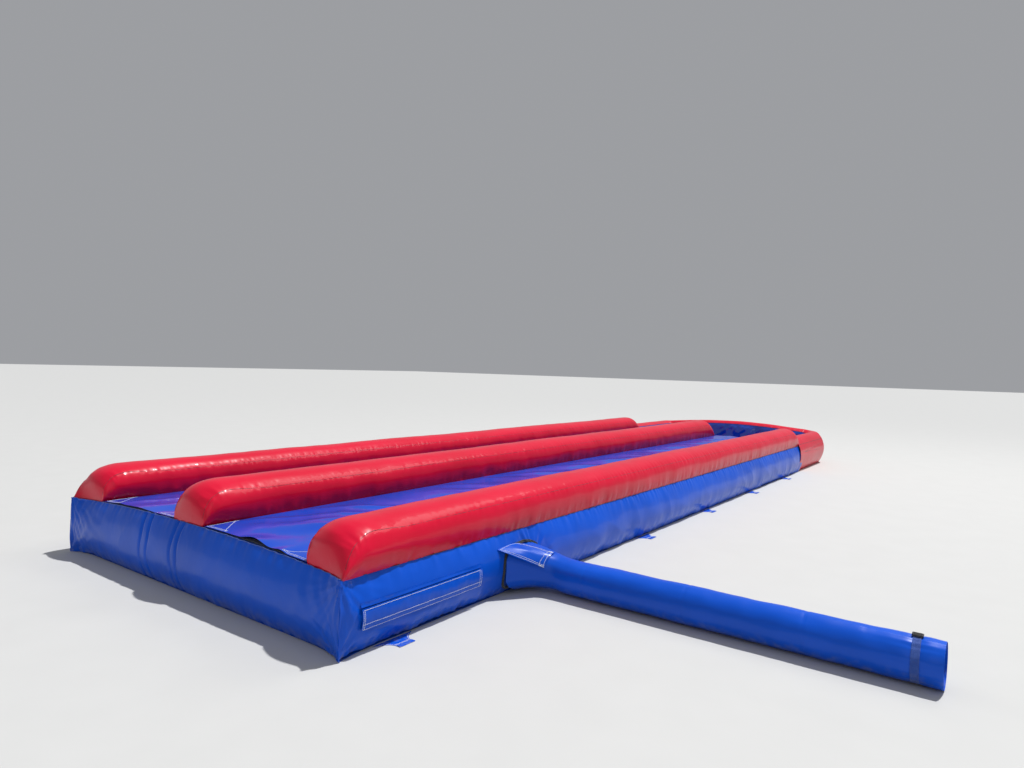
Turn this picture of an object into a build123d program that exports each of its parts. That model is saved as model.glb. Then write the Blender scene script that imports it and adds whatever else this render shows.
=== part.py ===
from build123d import *
import math
import os

# Two-lane inflatable water slide with a splash pool, one STEP file for each separate piece.
# Millimetres. +X is across the lanes, +Y runs along the slide to the pool, +Z is up.
# The origin is on the ground at the centre of the footprint.

# ---- driving dimensions ----
SKIN = 3.0                    # thickness given to every vinyl panel
FRONT_TIP_Y = -5850.0         # front corner tips
POOL_END_Y = 5850.0           # outermost face of the far pool wall
TIP_X = 1667.0                # half width over the front corner tips
SEAM_X = 1627.0               # half width between the side wall seams
SIDE_BULGE = 65.0             # how far an inflated wall stands out of its two seams
BASE_HEIGHT = 425.0           # ground to the seam along the edge of the deck
DECK_CROWN = 55.0             # rise of the inflated deck at its middle
FRONT_SEAM_Y = -5780.0        # front wall seam between the corner tips
BASE_END_Y = 3880.0           # where the deck ends and the pool starts
SIDE_EAR = 130.0              # length of side wall that flares out to a corner tip
FRONT_EAR = 250.0             # the same along the front wall

RAIL_X = 1449.0               # centre line of each outer rail
RAIL_HALF_FOOT = 176.0        # half width of a rail where it meets the deck
RAIL_HALF_WIDE = 195.0        # half width of a rail at its widest
RAIL_HALF_SEAM = 164.0        # the top strip's two seams
RAIL_SEAM_RISE = 238.0        # height of those seams over the deck
RAIL_HEIGHT = 282.0           # height of the crest over the deck
RAIL_FRONT_Y = -5774.0
RAIL_END_Y = BASE_END_Y - 4
NOSE_RADIUS = 265.0           # the strip rolls from the front edge up into the crest
CREST_CLEAR = 2.0             # the rail's side outline passes this far over the crest

POOL_WALL_X = 1685.0          # half width over the pool walls
POOL_CORNER = 420.0           # plan radius of the pool's outer corners

TUBE_Y = -4070.0              # inflation tube's centre line
TUBE_RADIUS = 122.0
TUBE_END_X = 4280.0
MOUTH_Z = 180.0               # centre of the flared mouth on the wall
MOUTH_Y = TUBE_Y - 30

ZIP_START_Y = -5720.0         # deflation zip's cover flap
ZIP_END_Y = -4680.0
ZIP_TOP_Z = 262.0
ZIP_BOTTOM_Z = 138.0
ZIP_LINE_Z = 200.0

ANCHORS = 6                   # ground anchors along each side
ANCHOR_FIRST_Y = -5430.0
ANCHOR_PITCH = 1660.0
ANCHOR_TAB = (124.0, 95.0, 158.0, 62.0, 4.0)   # reach, neck, half widths at root and end, thickness
ANCHOR_HINGE_X = 1639.0

GAP = 0.3                     # gap between faces that lie against each other

DECK_RADIUS = (SEAM_X**2 + DECK_CROWN**2) / (2 * DECK_CROWN)
FAR = 8000.0                  # longer than half of the object, for cutting blocks


# ---- geometry helpers ----
def in_xz(point, y=0.0):
    """Place a section point (x, z) in space."""
    return (point[0], y, point[1])


def in_yz(point, x=0.0):
    """Place a section point (y, z) in space."""
    return (x, point[0], point[1])


def circle_through(start, middle, end):
    """Centre and radius of the circle through three points of a section."""
    ax, ay = start
    bx, by = middle
    cx, cy = end
    det = 2 * (ax * (by - cy) + bx * (cy - ay) + cx * (ay - by))
    a2, b2, c2 = ax**2 + ay**2, bx**2 + by**2, cx**2 + cy**2
    ux = (a2 * (by - cy) + b2 * (cy - ay) + c2 * (ay - by)) / det
    uy = (a2 * (cx - bx) + b2 * (ax - cx) + c2 * (bx - ax)) / det
    return (ux, uy), math.hypot(ax - ux, ay - uy)


def moved_out(point, centre, radius, distance):
    """A point of a circle, moved away from the centre by a distance."""
    k = (radius + distance) / radius
    return (centre[0] + (point[0] - centre[0]) * k, centre[1] + (point[1] - centre[1]) * k)


def arc_band(points, place, outside=0.0, thickness=SKIN):
    """Face of a curved strip: from outside the arc inwards by a thickness."""
    centre, radius = circle_through(*points)
    outer = [moved_out(p, centre, radius, outside) for p in points]
    inner = [moved_out(p, centre, radius, outside - thickness) for p in points]
    edges = [
        ThreePointArc(*[place(p) for p in outer]),
        Line(place(outer[2]), place(inner[2])),
        ThreePointArc(*[place(p) for p in reversed(inner)]),
        Line(place(inner[0]), place(outer[0])),
    ]
    return make_face(edges)


def polygon_xz(points, y_start, y_end):
    """Prism along Y with a straight-sided section in x and z."""
    face = make_face(Polyline(*[in_xz(p, y_start) for p in points], close=True))
    return extrude(face, amount=y_end - y_start, dir=(0, 1, 0))


def block(x0, x1, y0, y1, z0, z1):
    """Box given by its two corners."""
    return Pos((x0 + x1) / 2, (y0 + y1) / 2, (z0 + z1) / 2) * Box(x1 - x0, y1 - y0, z1 - z0)


def mirrored(solid):
    """The same piece on the other side of the centre plane."""
    return mirror(solid, about=Plane.YZ)


def crown_z(x, lift=0.0):
    """Height of the deck's upper face at a distance from the centre line."""
    radius = DECK_RADIUS + lift
    return BASE_HEIGHT + DECK_CROWN - DECK_RADIUS + math.sqrt(radius**2 - x**2)


def crown_strip(x0, x1, y0, y1, lift, thickness):
    """Panel that follows the crowned deck, with its upper face lifted over the deck."""
    middle = (x0 + x1) / 2
    points = [(x, crown_z(x)) for x in (x0, middle, x1)]
    face = arc_band(points, lambda p: in_xz(p, y0), outside=lift, thickness=thickness)
    return extrude(face, amount=y1 - y0, dir=(0, 1, 0))


def under_deck():
    """Everything below the deck's upper face, used to trim what stands on it."""
    points = [(x, crown_z(x, GAP)) for x in (-TIP_X, 0.0, TIP_X)]
    arc = ThreePointArc(*[in_xz(p, -FAR) for p in points])
    low = -10.0
    sides = Polyline(
        in_xz(points[2], -FAR), (TIP_X, -FAR, low), (-TIP_X, -FAR, low), in_xz(points[0], -FAR)
    )
    return extrude(make_face([arc, sides]), amount=2 * FAR, dir=(0, 1, 0))


# ---- base chamber ----
WALL_ARC = [(SEAM_X, 0.0), (SEAM_X + SIDE_BULGE, BASE_HEIGHT / 2), (SEAM_X, BASE_HEIGHT)]
WALL_CENTRE, WALL_RADIUS = circle_through(*WALL_ARC)


def wall_x(z, outside=0.0):
    """Outer face of the right side wall at a height."""
    return WALL_CENTRE[0] + math.sqrt((WALL_RADIUS + outside)**2 - (z - WALL_CENTRE[1])**2)


def wall_block():
    """Solid inside of the right side wall, used to trim what is sewn onto it."""
    arc = ThreePointArc(*[in_xz(p, -FAR) for p in WALL_ARC])
    back = Polyline(
        in_xz(WALL_ARC[2], -FAR), (SEAM_X - 100, -FAR, BASE_HEIGHT), (SEAM_X - 100, -FAR, 0),
        in_xz(WALL_ARC[0], -FAR),
    )
    return extrude(make_face([arc, back]), amount=2 * FAR, dir=(0, 1, 0))


def mouth_ellipse(half_wide, half_high, x):
    """Ellipse across the tube's line, at the mouth."""
    plane = Plane(origin=(x, MOUTH_Y, MOUTH_Z), x_dir=(0, 1, 0), z_dir=(1, 0, 0))
    return plane * Ellipse(half_wide, half_high)


def side_wall():
    """Right side wall, with the air inlet and the slit behind the deflation zip."""
    ear_y = FRONT_TIP_Y + SIDE_EAR
    main = extrude(
        arc_band(WALL_ARC, lambda p: in_xz(p, ear_y)), amount=BASE_END_Y - ear_y, dir=(0, 1, 0)
    )
    tip_arc = [(TIP_X - 6, 0.0), (TIP_X, BASE_HEIGHT / 2), (TIP_X - 6, BASE_HEIGHT)]
    near = arc_band(WALL_ARC, lambda p: in_xz(p, ear_y))
    tip = arc_band(tip_arc, lambda p: in_xz(p, FRONT_TIP_Y + 8))
    return main + loft([near, tip], ruled=True)


def side_wall_with_openings():
    """The right wall also carries the air inlet and the deflation slit."""
    inlet = extrude(mouth_ellipse(240, 115, SEAM_X - 60), amount=200, dir=(1, 0, 0))
    slit = block(
        SEAM_X, SEAM_X + 2 * SIDE_BULGE, ZIP_START_Y + 60, ZIP_END_Y - 60,
        ZIP_LINE_Z - 3, ZIP_LINE_Z + 3,
    )
    return side_wall() - inlet - slit


def front_wall(trim):
    """Front wall, drawn in between its two corner tips, with its top on the crowned deck."""
    half = TIP_X - FRONT_EAR
    top = BASE_HEIGHT + DECK_CROWN
    arc = [(FRONT_SEAM_Y, 0.0), (FRONT_SEAM_Y - SIDE_BULGE, top / 2), (FRONT_SEAM_Y, top)]
    tip_y = FRONT_TIP_Y + 7
    tip_arc = [(tip_y, 0.0), (tip_y - 6, top / 2), (tip_y, top)]
    main = extrude(arc_band(arc, lambda p: in_yz(p, -half)), amount=2 * half, dir=(1, 0, 0))
    near = arc_band(arc, lambda p: in_yz(p, half))
    tip = arc_band(tip_arc, lambda p: in_yz(p, TIP_X - 11))
    ear = loft([near, tip], ruled=True)
    return (main + ear + mirrored(ear)) & trim


def rear_wall(trim):
    """Wall between the deck and the pool, with its top on the crowned deck."""
    half = 1297.0
    top = BASE_HEIGHT + DECK_CROWN
    arc = [(BASE_END_Y, 20.0), (BASE_END_Y + 50, top / 2), (BASE_END_Y, top)]
    return extrude(arc_band(arc, lambda p: in_yz(p, -half)), amount=2 * half, dir=(1, 0, 0)) & trim


def base_outline(z, height):
    """Prism of the base's plan, with its two pointed front corners."""
    edge = SEAM_X - 6
    right = [
        (TIP_X - FRONT_EAR - 10, FRONT_SEAM_Y + 8), (TIP_X - 24, FRONT_TIP_Y + 24),
        (edge, FRONT_TIP_Y + SIDE_EAR - 6), (edge, BASE_END_Y - 4),
    ]
    left = [(-x, y) for x, y in reversed(right)]
    outline = Polyline(*[(x, y, z) for x, y in right + left], close=True)
    return extrude(make_face(outline), amount=height, dir=(0, 0, 1))


def deck():
    """Crowned top panel of the base."""
    strip = crown_strip(-TIP_X, TIP_X, FRONT_TIP_Y, BASE_END_Y, 0.0, SKIN)
    return strip & base_outline(300, 400)


def baffles():
    """Internal webs that hold the deck flat, open at both ends for the air."""
    pitch = SEAM_X / 3
    vent = 220.0
    webs = []
    for i in range(6):
        x = pitch * (i - 2.5)
        top = crown_z(abs(x) + 2) - SKIN - GAP
        webs.append(block(x - 1.25, x + 1.25, FRONT_SEAM_Y + vent, BASE_END_Y - vent, SKIN + GAP, top))
    return Compound(children=webs)


# ---- rails ----
def rail_profile(inset, foot_z):
    """Section of a rail: bulging sides, and a crowned top strip between two seams."""
    foot, wide, seam = RAIL_HALF_FOOT - inset, RAIL_HALF_WIDE - inset, RAIL_HALF_SEAM - inset
    seam_z, crest_z = foot_z + RAIL_SEAM_RISE - inset, foot_z + RAIL_HEIGHT - inset
    low = foot_z - 40
    right = ThreePointArc((foot, 0, foot_z), (wide, 0, foot_z + 110), (seam, 0, seam_z))
    top = ThreePointArc((seam, 0, seam_z), (0, 0, crest_z), (-seam, 0, seam_z))
    left = ThreePointArc((-seam, 0, seam_z), (-wide, 0, foot_z + 110), (-foot, 0, foot_z))
    bottom = Polyline((-foot, 0, foot_z), (-foot, 0, low), (foot, 0, low), (foot, 0, foot_z))
    return make_face([right, top, left, bottom])


def rail_outline(inset, foot_z):
    """Side view of a rail: the rolled nose in front and the rounded far end.

    Its top runs just clear over the crest, so that the crest is left to the section.
    """
    front, end = RAIL_FRONT_Y + inset, RAIL_END_Y - inset
    radius = NOSE_RADIUS - inset
    turn = foot_z + RAIL_HEIGHT + CREST_CLEAR - inset - radius
    low = foot_z - 60
    bow = radius * (1 - math.sqrt(0.5))
    nose = ThreePointArc((0, front, turn), (0, front + bow, turn + radius - bow), (0, front + radius, turn + radius))
    crest = Line((0, front + radius, turn + radius), (0, end - radius, turn + radius))
    tail = ThreePointArc((0, end - radius, turn + radius), (0, end - bow, turn + radius - bow), (0, end, turn))
    bottom = Polyline((0, end, turn), (0, end, low), (0, front, low), (0, front, turn))
    return make_face([nose, crest, tail, bottom])


def rail_body(inset, foot_z):
    """Full volume of a rail, less an inset all round."""
    along = extrude(rail_profile(inset, foot_z), amount=FAR, dir=(0, 1, 0), both=True)
    across = extrude(rail_outline(inset, foot_z), amount=400, dir=(1, 0, 0), both=True)
    return along & across


def rail_panels(centre_x, trim):
    """The top strip and the two side panels of one rail."""
    foot_z = crown_z(centre_x) - 2
    skin = rail_body(0.0, foot_z) - rail_body(SKIN, foot_z)
    skin = Pos(centre_x, 0, 0) * skin - trim
    seam, wide = RAIL_HALF_SEAM, 400.0
    zones = {
        "strip": (centre_x - seam + GAP, centre_x + seam - GAP),
        "side_left": (centre_x - wide, centre_x - seam),
        "side_right": (centre_x + seam, centre_x + wide),
    }
    return {
        name: skin & block(x0, x1, -FAR, FAR, 0, 1200) for name, (x0, x1) in zones.items()
    }


# ---- lane liners ----
LINER_LIFT = 6.2
LANE_EDGES = (RAIL_HALF_FOOT + 10, RAIL_X - RAIL_HALF_FOOT - 10)


def lane_liner():
    """Loose wet-slide sheet of the right lane."""
    x0, x1 = LANE_EDGES
    return crown_strip(x0, x1, FRONT_SEAM_Y + 10, BASE_END_Y - 4, LINER_LIFT, SKIN)


def liner_hook_strips():
    """Hook-and-loop strips that hold both liners at the front edge of the deck."""
    x0, x1 = LANE_EDGES
    y0 = FRONT_SEAM_Y + 20
    strip = crown_strip(x0 + 20, x1 - 20, y0, y0 + 50, LINER_LIFT - SKIN - GAP, 2.5)
    return Compound(children=[strip, mirrored(strip)])


# ---- splash pool ----
POOL_AXIS = (POOL_WALL_X - POOL_CORNER, POOL_END_Y - POOL_CORNER)
POOL_START_Y = BASE_END_Y + 3
POOL_OUTER_ARC = [(1597.0, 0.0), (POOL_WALL_X, 230.0), (1643.0, 455.0)]
POOL_TOP_ARC = [(1642.0, 458.0), (1532.0, 560.0), (1383.0, 520.0)]
POOL_INNER_ARC = [(1379.0, 516.0), (1327.0, 270.0), (1372.0, 18.0)]


def around_pool(points, outside=0.0):
    """Sweep a wall section round the three outer sides of the pool."""
    centre_x, centre_y = POOL_AXIS
    start = arc_band(points, lambda p: in_xz(p, POOL_START_Y), outside)
    side = extrude(start, amount=centre_y - POOL_START_Y, dir=(0, 1, 0))
    turn = arc_band(points, lambda p: in_xz(p, centre_y), outside)
    corner = revolve(turn, axis=Axis((centre_x, centre_y, 0), (0, 0, 1)), revolution_arc=90)
    far_points = [(centre_y + x - centre_x, z) for x, z in points]
    far_face = arc_band(far_points, lambda p: in_yz(p, -centre_x), outside)
    far = extrude(far_face, amount=2 * centre_x, dir=(1, 0, 0))
    half = side + corner
    return far + half + mirrored(half)


def pool_sheet(half_width, z):
    """Flat sheet of the pool's plan, square at the deck and rounded at the far end."""
    radius = half_width - POOL_AXIS[0]
    length = 2 * (POOL_AXIS[1] + radius - POOL_START_Y)
    plan = Pos(0, POOL_START_Y, z) * RectangleRounded(2 * half_width, length, radius)
    return extrude(plan, amount=SKIN, dir=(0, 0, 1)) & block(-FAR, FAR, POOL_START_Y, FAR, -10, 100)


# ---- inflation tube ----
TUBE_Z = TUBE_RADIUS + 4
COLLAR_START_X = 1697.0
COLLAR_END_X = 1935.0


def tube_circle(radius, x):
    """Circle across the tube."""
    plane = Plane(origin=(x, TUBE_Y, TUBE_Z), x_dir=(0, 1, 0), z_dir=(1, 0, 0))
    return plane * Circle(radius)


def tube_ring(outside, thickness, x0, x1):
    """Hollow cylinder on the tube's centre line, from outside its surface inwards."""
    outer = TUBE_RADIUS + outside
    section = tube_circle(outer, x0) - tube_circle(outer - thickness, x0)
    return extrude(section, amount=x1 - x0, dir=(1, 0, 0))


def inlet_collar(wall):
    """Flared collar between the wall and the tube."""
    outer = loft([mouth_ellipse(300, 148, COLLAR_START_X), tube_circle(TUBE_RADIUS, COLLAR_END_X)])
    inner = loft([mouth_ellipse(297, 145, COLLAR_START_X), tube_circle(TUBE_RADIUS - SKIN, COLLAR_END_X)])
    rim = mouth_ellipse(300, 148, SEAM_X - 20) - mouth_ellipse(297, 145, SEAM_X - 20)
    foot = extrude(rim, amount=COLLAR_START_X - SEAM_X + 20, dir=(1, 0, 0)) - wall
    return foot + (outer - inner)


def inlet_binding(wall):
    """Black bound seam round the mouth."""
    rim = mouth_ellipse(311, 159, SEAM_X - 20) - mouth_ellipse(300.5, 148.5, SEAM_X - 20)
    return extrude(rim, amount=COLLAR_START_X - SEAM_X + 20, dir=(1, 0, 0)) - wall


def inlet_flap():
    """Rain flap from the wall over the collar to the top of the tube."""
    section = [(1680.0, 350.0), (1895.0, 279.0), (1895.0, 282.0), (1680.0, 353.0)]
    return polygon_xz(section, TUBE_Y - 355, TUBE_Y - 10)


def tube_strap():
    """Tie strap sewn round the open end of the tube."""
    x0 = TUBE_END_X - 150
    return tube_ring(GAP + 2.5, 2.5, x0, x0 + 40)


def tube_buckle():
    """Plastic buckle of the tie strap, on top of the tube."""
    x0 = TUBE_END_X - 157
    z0 = TUBE_Z + TUBE_RADIUS + 3.2
    frame = block(x0, x0 + 54, TUBE_Y - 21, TUBE_Y + 21, z0, z0 + 9)
    frame = fillet(frame.edges().filter_by(Axis.Z), 6)
    slots = [block(x0 + 7, x0 + 47, TUBE_Y + y, TUBE_Y + y + 7, z0 - 1, z0 + 10) for y in (-13, 6)]
    return frame - slots[0] - slots[1]


# ---- deflation zip ----
FLAP_ARC = [(1697.5, ZIP_TOP_Z), (1705.5, ZIP_LINE_Z), (1692.0, ZIP_BOTTOM_Z)]
TAPE_X = SEAM_X + SIDE_BULGE + 0.4


def flap_inner_x(z):
    """Inner face of the cover flap at a height."""
    centre, radius = circle_through(*FLAP_ARC)
    return centre[0] + math.sqrt((radius - SKIN)**2 - (z - centre[1])**2)


def zip_pieces(wall):
    """Tape, teeth, slider, cover flap with its hem, and the strips that hold it shut."""
    y0, y1 = ZIP_START_Y, ZIP_END_Y
    slider_y = y0 + 30
    flap = extrude(arc_band(FLAP_ARC, lambda p: in_xz(p, y0)), amount=y1 - y0, dir=(0, 1, 0))
    hem = block(SEAM_X, 1697.5, y0, y1, ZIP_TOP_Z + 1, ZIP_TOP_Z + 12) - wall
    tape = block(TAPE_X, TAPE_X + 2, y0 + 20, y1 - 20, ZIP_LINE_Z - 18, ZIP_LINE_Z + 18)
    teeth = block(TAPE_X + 2, TAPE_X + 4, y0 + 22, y1 - 22, ZIP_LINE_Z - 3, ZIP_LINE_Z + 3)
    slider = block(TAPE_X + 2.2, TAPE_X + 7.6, slider_y, slider_y + 30, ZIP_LINE_Z - 9, ZIP_LINE_Z + 9)
    groove = block(TAPE_X, TAPE_X + 4.3, slider_y - 1, slider_y + 31, ZIP_LINE_Z - 3.4, ZIP_LINE_Z + 3.4)
    low, high = ZIP_BOTTOM_Z + 3, ZIP_BOTTOM_Z + 21
    loop = [
        (wall_x(low) + 0.3, low), (wall_x(high) + 0.3, high),
        (wall_x(high) + 1.5, high), (wall_x(low) + 1.5, low),
    ]
    hook = [
        (flap_inner_x(low) - 1.8, low), (flap_inner_x(high) - 2.0, high),
        (flap_inner_x(high) - 0.3, high), (flap_inner_x(low) - 0.3, low),
    ]
    return {
        "zip_flap": flap,
        "zip_flap_hem": hem,
        "zip_tape": tape,
        "zip_teeth": teeth,
        "zip_slider": slider - groove,
        "zip_loop_strip": polygon_xz(loop, y0 + 10, y1 - 10),
        "zip_hook_strip": polygon_xz(hook, y0 + 10, y1 - 10),
    }


# ---- ground anchors ----
def anchor_y(index):
    """Place of an anchor along the side."""
    return ANCHOR_FIRST_Y + index * ANCHOR_PITCH


def anchor_tab(index):
    """Anchor flange on the ground: wide at the bottom seam, with hollow sides, and a folded end."""
    reach, neck, half_root, half_end, thickness = ANCHOR_TAB
    y, x0 = anchor_y(index), ANCHOR_HINGE_X
    waist = (half_root + 2 * half_end) / 3
    z = 0.5
    far = ThreePointArc((x0, y + half_root, z), (x0 + neck * 0.4, y + waist, z), (x0 + neck, y + half_end, z))
    near = ThreePointArc((x0 + neck, y - half_end, z), (x0 + neck * 0.4, y - waist, z), (x0, y - half_root, z))
    end = Polyline(
        (x0 + neck, y + half_end, z), (x0 + reach, y + half_end, z),
        (x0 + reach, y - half_end, z), (x0 + neck, y - half_end, z),
    )
    root = Line((x0, y - half_root, z), (x0, y + half_root, z))
    return extrude(make_face([far, end, near, root]), amount=thickness, dir=(0, 0, 1))


# ---- assembly ----
def save(name, shape):
    """Write one piece and print its volume."""
    export_step(shape, f"parts/{name}.step")
    print(f"{name}: {shape.volume / 1000:.1f} cm3")


def main():
    """Build and write every piece."""
    os.makedirs("parts", exist_ok=True)
    wall = wall_block()
    trim = under_deck()
    pieces = {
        "base_floor": base_outline(0.0, SKIN),
        "base_deck": deck(),
        "base_wall_front": front_wall(trim),
        "base_wall_right": side_wall_with_openings(),
        "base_wall_left": mirrored(side_wall()),
        "base_wall_rear": rear_wall(trim),
        "base_baffles": baffles(),
        "slide_liner_right": lane_liner(),
        "slide_liner_left": mirrored(lane_liner()),
        "liner_hook_strips": liner_hook_strips(),
        "pool_wall_outer": around_pool(POOL_OUTER_ARC),
        "pool_wall_top": around_pool(POOL_TOP_ARC),
        "pool_wall_inner": around_pool(POOL_INNER_ARC),
        "pool_ground_sheet": pool_sheet(POOL_OUTER_ARC[0][0] - 6, 0.0),
        "pool_liner_floor": pool_sheet(POOL_INNER_ARC[2][0] - 9, 12.0),
        "inflation_tube": tube_ring(0.0, SKIN, COLLAR_END_X + GAP, TUBE_END_X),
        "inlet_collar": inlet_collar(wall),
        "inlet_binding": inlet_binding(wall),
        "inlet_flap": inlet_flap(),
        "tube_strap": tube_strap(),
        "tube_buckle": tube_buckle(),
    }
    for side, centre_x in (("left", -RAIL_X), ("middle", 0.0), ("right", RAIL_X)):
        for panel, solid in rail_panels(centre_x, trim).items():
            pieces[f"rail_{side}_{panel}"] = solid
    pieces.update(zip_pieces(wall))
    for i in range(ANCHORS):
        pieces[f"anchor_tab_right_{i + 1}"] = anchor_tab(i)
        pieces[f"anchor_tab_left_{i + 1}"] = mirrored(anchor_tab(i))
    for name, shape in pieces.items():
        save(name, shape)


main()
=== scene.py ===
"""Finished surfaces of a two-lane inflatable water slide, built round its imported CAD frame.

Metres, in the frame's own axes: +X across the lanes towards the inflation tube, +Y along the run to the
splash pool, +Z up. Every vinyl panel is a grid that is moved onto an inflated form and then wrinkled where
its seams gather it.
"""

import logging
import math
from dataclasses import dataclass
from enum import Enum
from typing import Any, Callable, Dict, List, Optional, Sequence, Tuple

import bpy
import numpy as np
from mathutils import Matrix, Vector


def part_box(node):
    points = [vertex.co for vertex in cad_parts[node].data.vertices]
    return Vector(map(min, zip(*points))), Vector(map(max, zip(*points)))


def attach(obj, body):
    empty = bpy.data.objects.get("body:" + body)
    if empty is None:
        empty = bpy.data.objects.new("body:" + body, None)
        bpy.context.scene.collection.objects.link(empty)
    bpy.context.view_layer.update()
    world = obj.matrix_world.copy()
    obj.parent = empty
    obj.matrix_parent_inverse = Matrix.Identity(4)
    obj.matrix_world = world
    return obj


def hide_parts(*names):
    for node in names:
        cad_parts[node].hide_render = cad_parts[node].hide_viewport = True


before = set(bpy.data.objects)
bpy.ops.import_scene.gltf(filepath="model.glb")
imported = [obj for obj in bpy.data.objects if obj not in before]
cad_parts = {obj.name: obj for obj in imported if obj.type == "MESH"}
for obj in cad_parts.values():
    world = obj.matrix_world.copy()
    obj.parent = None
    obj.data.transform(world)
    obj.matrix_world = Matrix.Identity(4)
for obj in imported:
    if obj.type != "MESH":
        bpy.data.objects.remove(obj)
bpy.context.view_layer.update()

LOG = logging.getLogger("water_slide")

Array = np.ndarray
Piece = bpy.types.Object
Colour = Tuple[float, float, float]
Form = Callable[[Array, Array], Array]
Relief = Callable[[Array, Array], Array]

CAD_SEAM = 0.003 * 0.86   # depth of a seam line in a panel's box in the frame
SKIN = 0.0016             # thickness given to a finished panel
SMOOTH_ANGLE = math.radians(38)
TURN = 2 * math.pi
TINY = 1e-6
SURFACE = "_surface"      # ends a finish's material name, apart from the frame's own of the same slot


# ---------------------------------------------------------------- shader maths
class Value:
    """A shader socket that takes part in Python arithmetic."""

    def __init__(self, graph: "Graph", socket: bpy.types.NodeSocket) -> None:
        """Keep the socket and the graph that its maths is added to."""
        self.graph = graph
        self.socket = socket

    def __add__(self, other: Any) -> "Value":
        """Sum."""
        return self.graph.maths("ADD", self, other)

    __radd__ = __add__

    def __sub__(self, other: Any) -> "Value":
        """Difference."""
        return self.graph.maths("SUBTRACT", self, other)

    def __rsub__(self, other: Any) -> "Value":
        """Difference with the number first."""
        return self.graph.maths("SUBTRACT", other, self)

    def __mul__(self, other: Any) -> "Value":
        """Product."""
        return self.graph.maths("MULTIPLY", self, other)

    __rmul__ = __mul__

    def clamped(self) -> "Value":
        """The value held between 0 and 1."""
        return self.graph.maths("MINIMUM", self.graph.maths("MAXIMUM", self, 0.0), 1.0)


class Graph:
    """Node tree of one material, and the few ways that nodes are added to it."""

    def __init__(self, name: str) -> None:
        """Make an empty material with an output."""
        self.material = bpy.data.materials.new(name)
        self.material.use_nodes = True
        self.tree = self.material.node_tree
        self.tree.nodes.clear()
        self.output = self.node("ShaderNodeOutputMaterial")

    def node(
        self,
        kind: str,
        settings: Optional[Dict[str, Any]] = None,
        inputs: Optional[Dict[Any, Any]] = None,
    ) -> bpy.types.Node:
        """Add a node.

        Args:
            kind: the node's type name.
            settings: properties, or "stops" for a ramp's (position, colour) pairs.
            inputs: values or links, by socket name or number.

        Returns:
            The new node.
        """
        made = self.tree.nodes.new(kind)
        for key, setting in (settings or {}).items():
            if key == "stops":
                self._set_stops(made, setting)
            else:
                setattr(made, key, setting)
        for key, value in (inputs or {}).items():
            if isinstance(value, Value):
                self.tree.links.new(value.socket, made.inputs[key])
            else:
                made.inputs[key].default_value = value
        return made

    @staticmethod
    def _set_stops(ramp: bpy.types.Node, stops: Sequence[Tuple[float, Colour]]) -> None:
        """Give a colour ramp its stops."""
        elements = ramp.color_ramp.elements
        while len(elements) < len(stops):
            elements.new(1.0)
        for element, (place, colour) in zip(elements, stops):
            element.position = place
            element.color = (*colour, 1.0)

    def value(self, node: bpy.types.Node, output: Any = 0) -> Value:
        """A node's output as a value."""
        return Value(self, node.outputs[output])

    def maths(self, operation: str, a: Any, b: Any = 0.0) -> Value:
        """A Math node on two values or numbers."""
        return self.value(self.node("ShaderNodeMath", {"operation": operation}, {0: a, 1: b}))

    def place(self, kind: str = "Object") -> Value:
        """Texture coordinates: Object, or UV, which is in metres on every panel."""
        return self.value(self.node("ShaderNodeTexCoord"), kind)

    def axes(self, vector: Value) -> Tuple[Value, Value, Value]:
        """The three numbers of a vector."""
        split = self.node("ShaderNodeSeparateXYZ", None, {0: vector})
        return tuple(self.value(split, i) for i in range(3))

    def noise(self, vector: Value, scale: float, detail: float = 3.0, distortion: float = 0.0) -> Value:
        """Fractal noise, from 0 to 1."""
        inputs = {"Vector": vector, "Scale": scale, "Detail": detail, "Distortion": distortion}
        return self.value(self.node("ShaderNodeTexNoise", None, inputs))

    def stretched(self, vector: Value, scale: Tuple[float, float, float]) -> Value:
        """The vector scaled along each axis."""
        return self.value(self.node("ShaderNodeMapping", None, {"Vector": vector, "Scale": scale}))

    def mixed(self, factor: Any, first: Any, second: Any) -> Value:
        """A mix of two colours."""
        pair = [(*c, 1.0) if isinstance(c, tuple) else c for c in (first, second)]
        node = self.node("ShaderNodeMix", {"data_type": "RGBA"}, {0: factor, 6: pair[0], 7: pair[1]})
        return self.value(node, 2)

    def ramp(self, factor: Value, stops: Sequence[Tuple[float, Colour]]) -> Value:
        """A colour ramp on a value."""
        return self.value(self.node("ShaderNodeValToRGB", {"stops": stops}, {0: factor}))

    def between(self, value: Value, low: float, high: float) -> Value:
        """0 below low, 1 over high and smooth between them."""
        settings = {"interpolation_type": "SMOOTHSTEP"}
        node = self.node("ShaderNodeMapRange", settings, {0: value, 1: low, 2: high})
        return self.value(node)

    def bump(self, height: Value, distance: float, strength: float = 1.0) -> Value:
        """Normals bent by a height."""
        inputs = {"Height": height, "Distance": distance, "Strength": strength}
        return self.value(self.node("ShaderNodeBump", None, inputs))

    def finish(self, **inputs: Any) -> bpy.types.Material:
        """Add the Principled shader with the sockets given by name, spaces written as underscores."""
        named = {key.replace("_", " "): value for key, value in inputs.items()}
        shader = self.node("ShaderNodeBsdfPrincipled", None, named)
        self.tree.links.new(shader.outputs[0], self.output.inputs[0])
        return self.material


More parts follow.
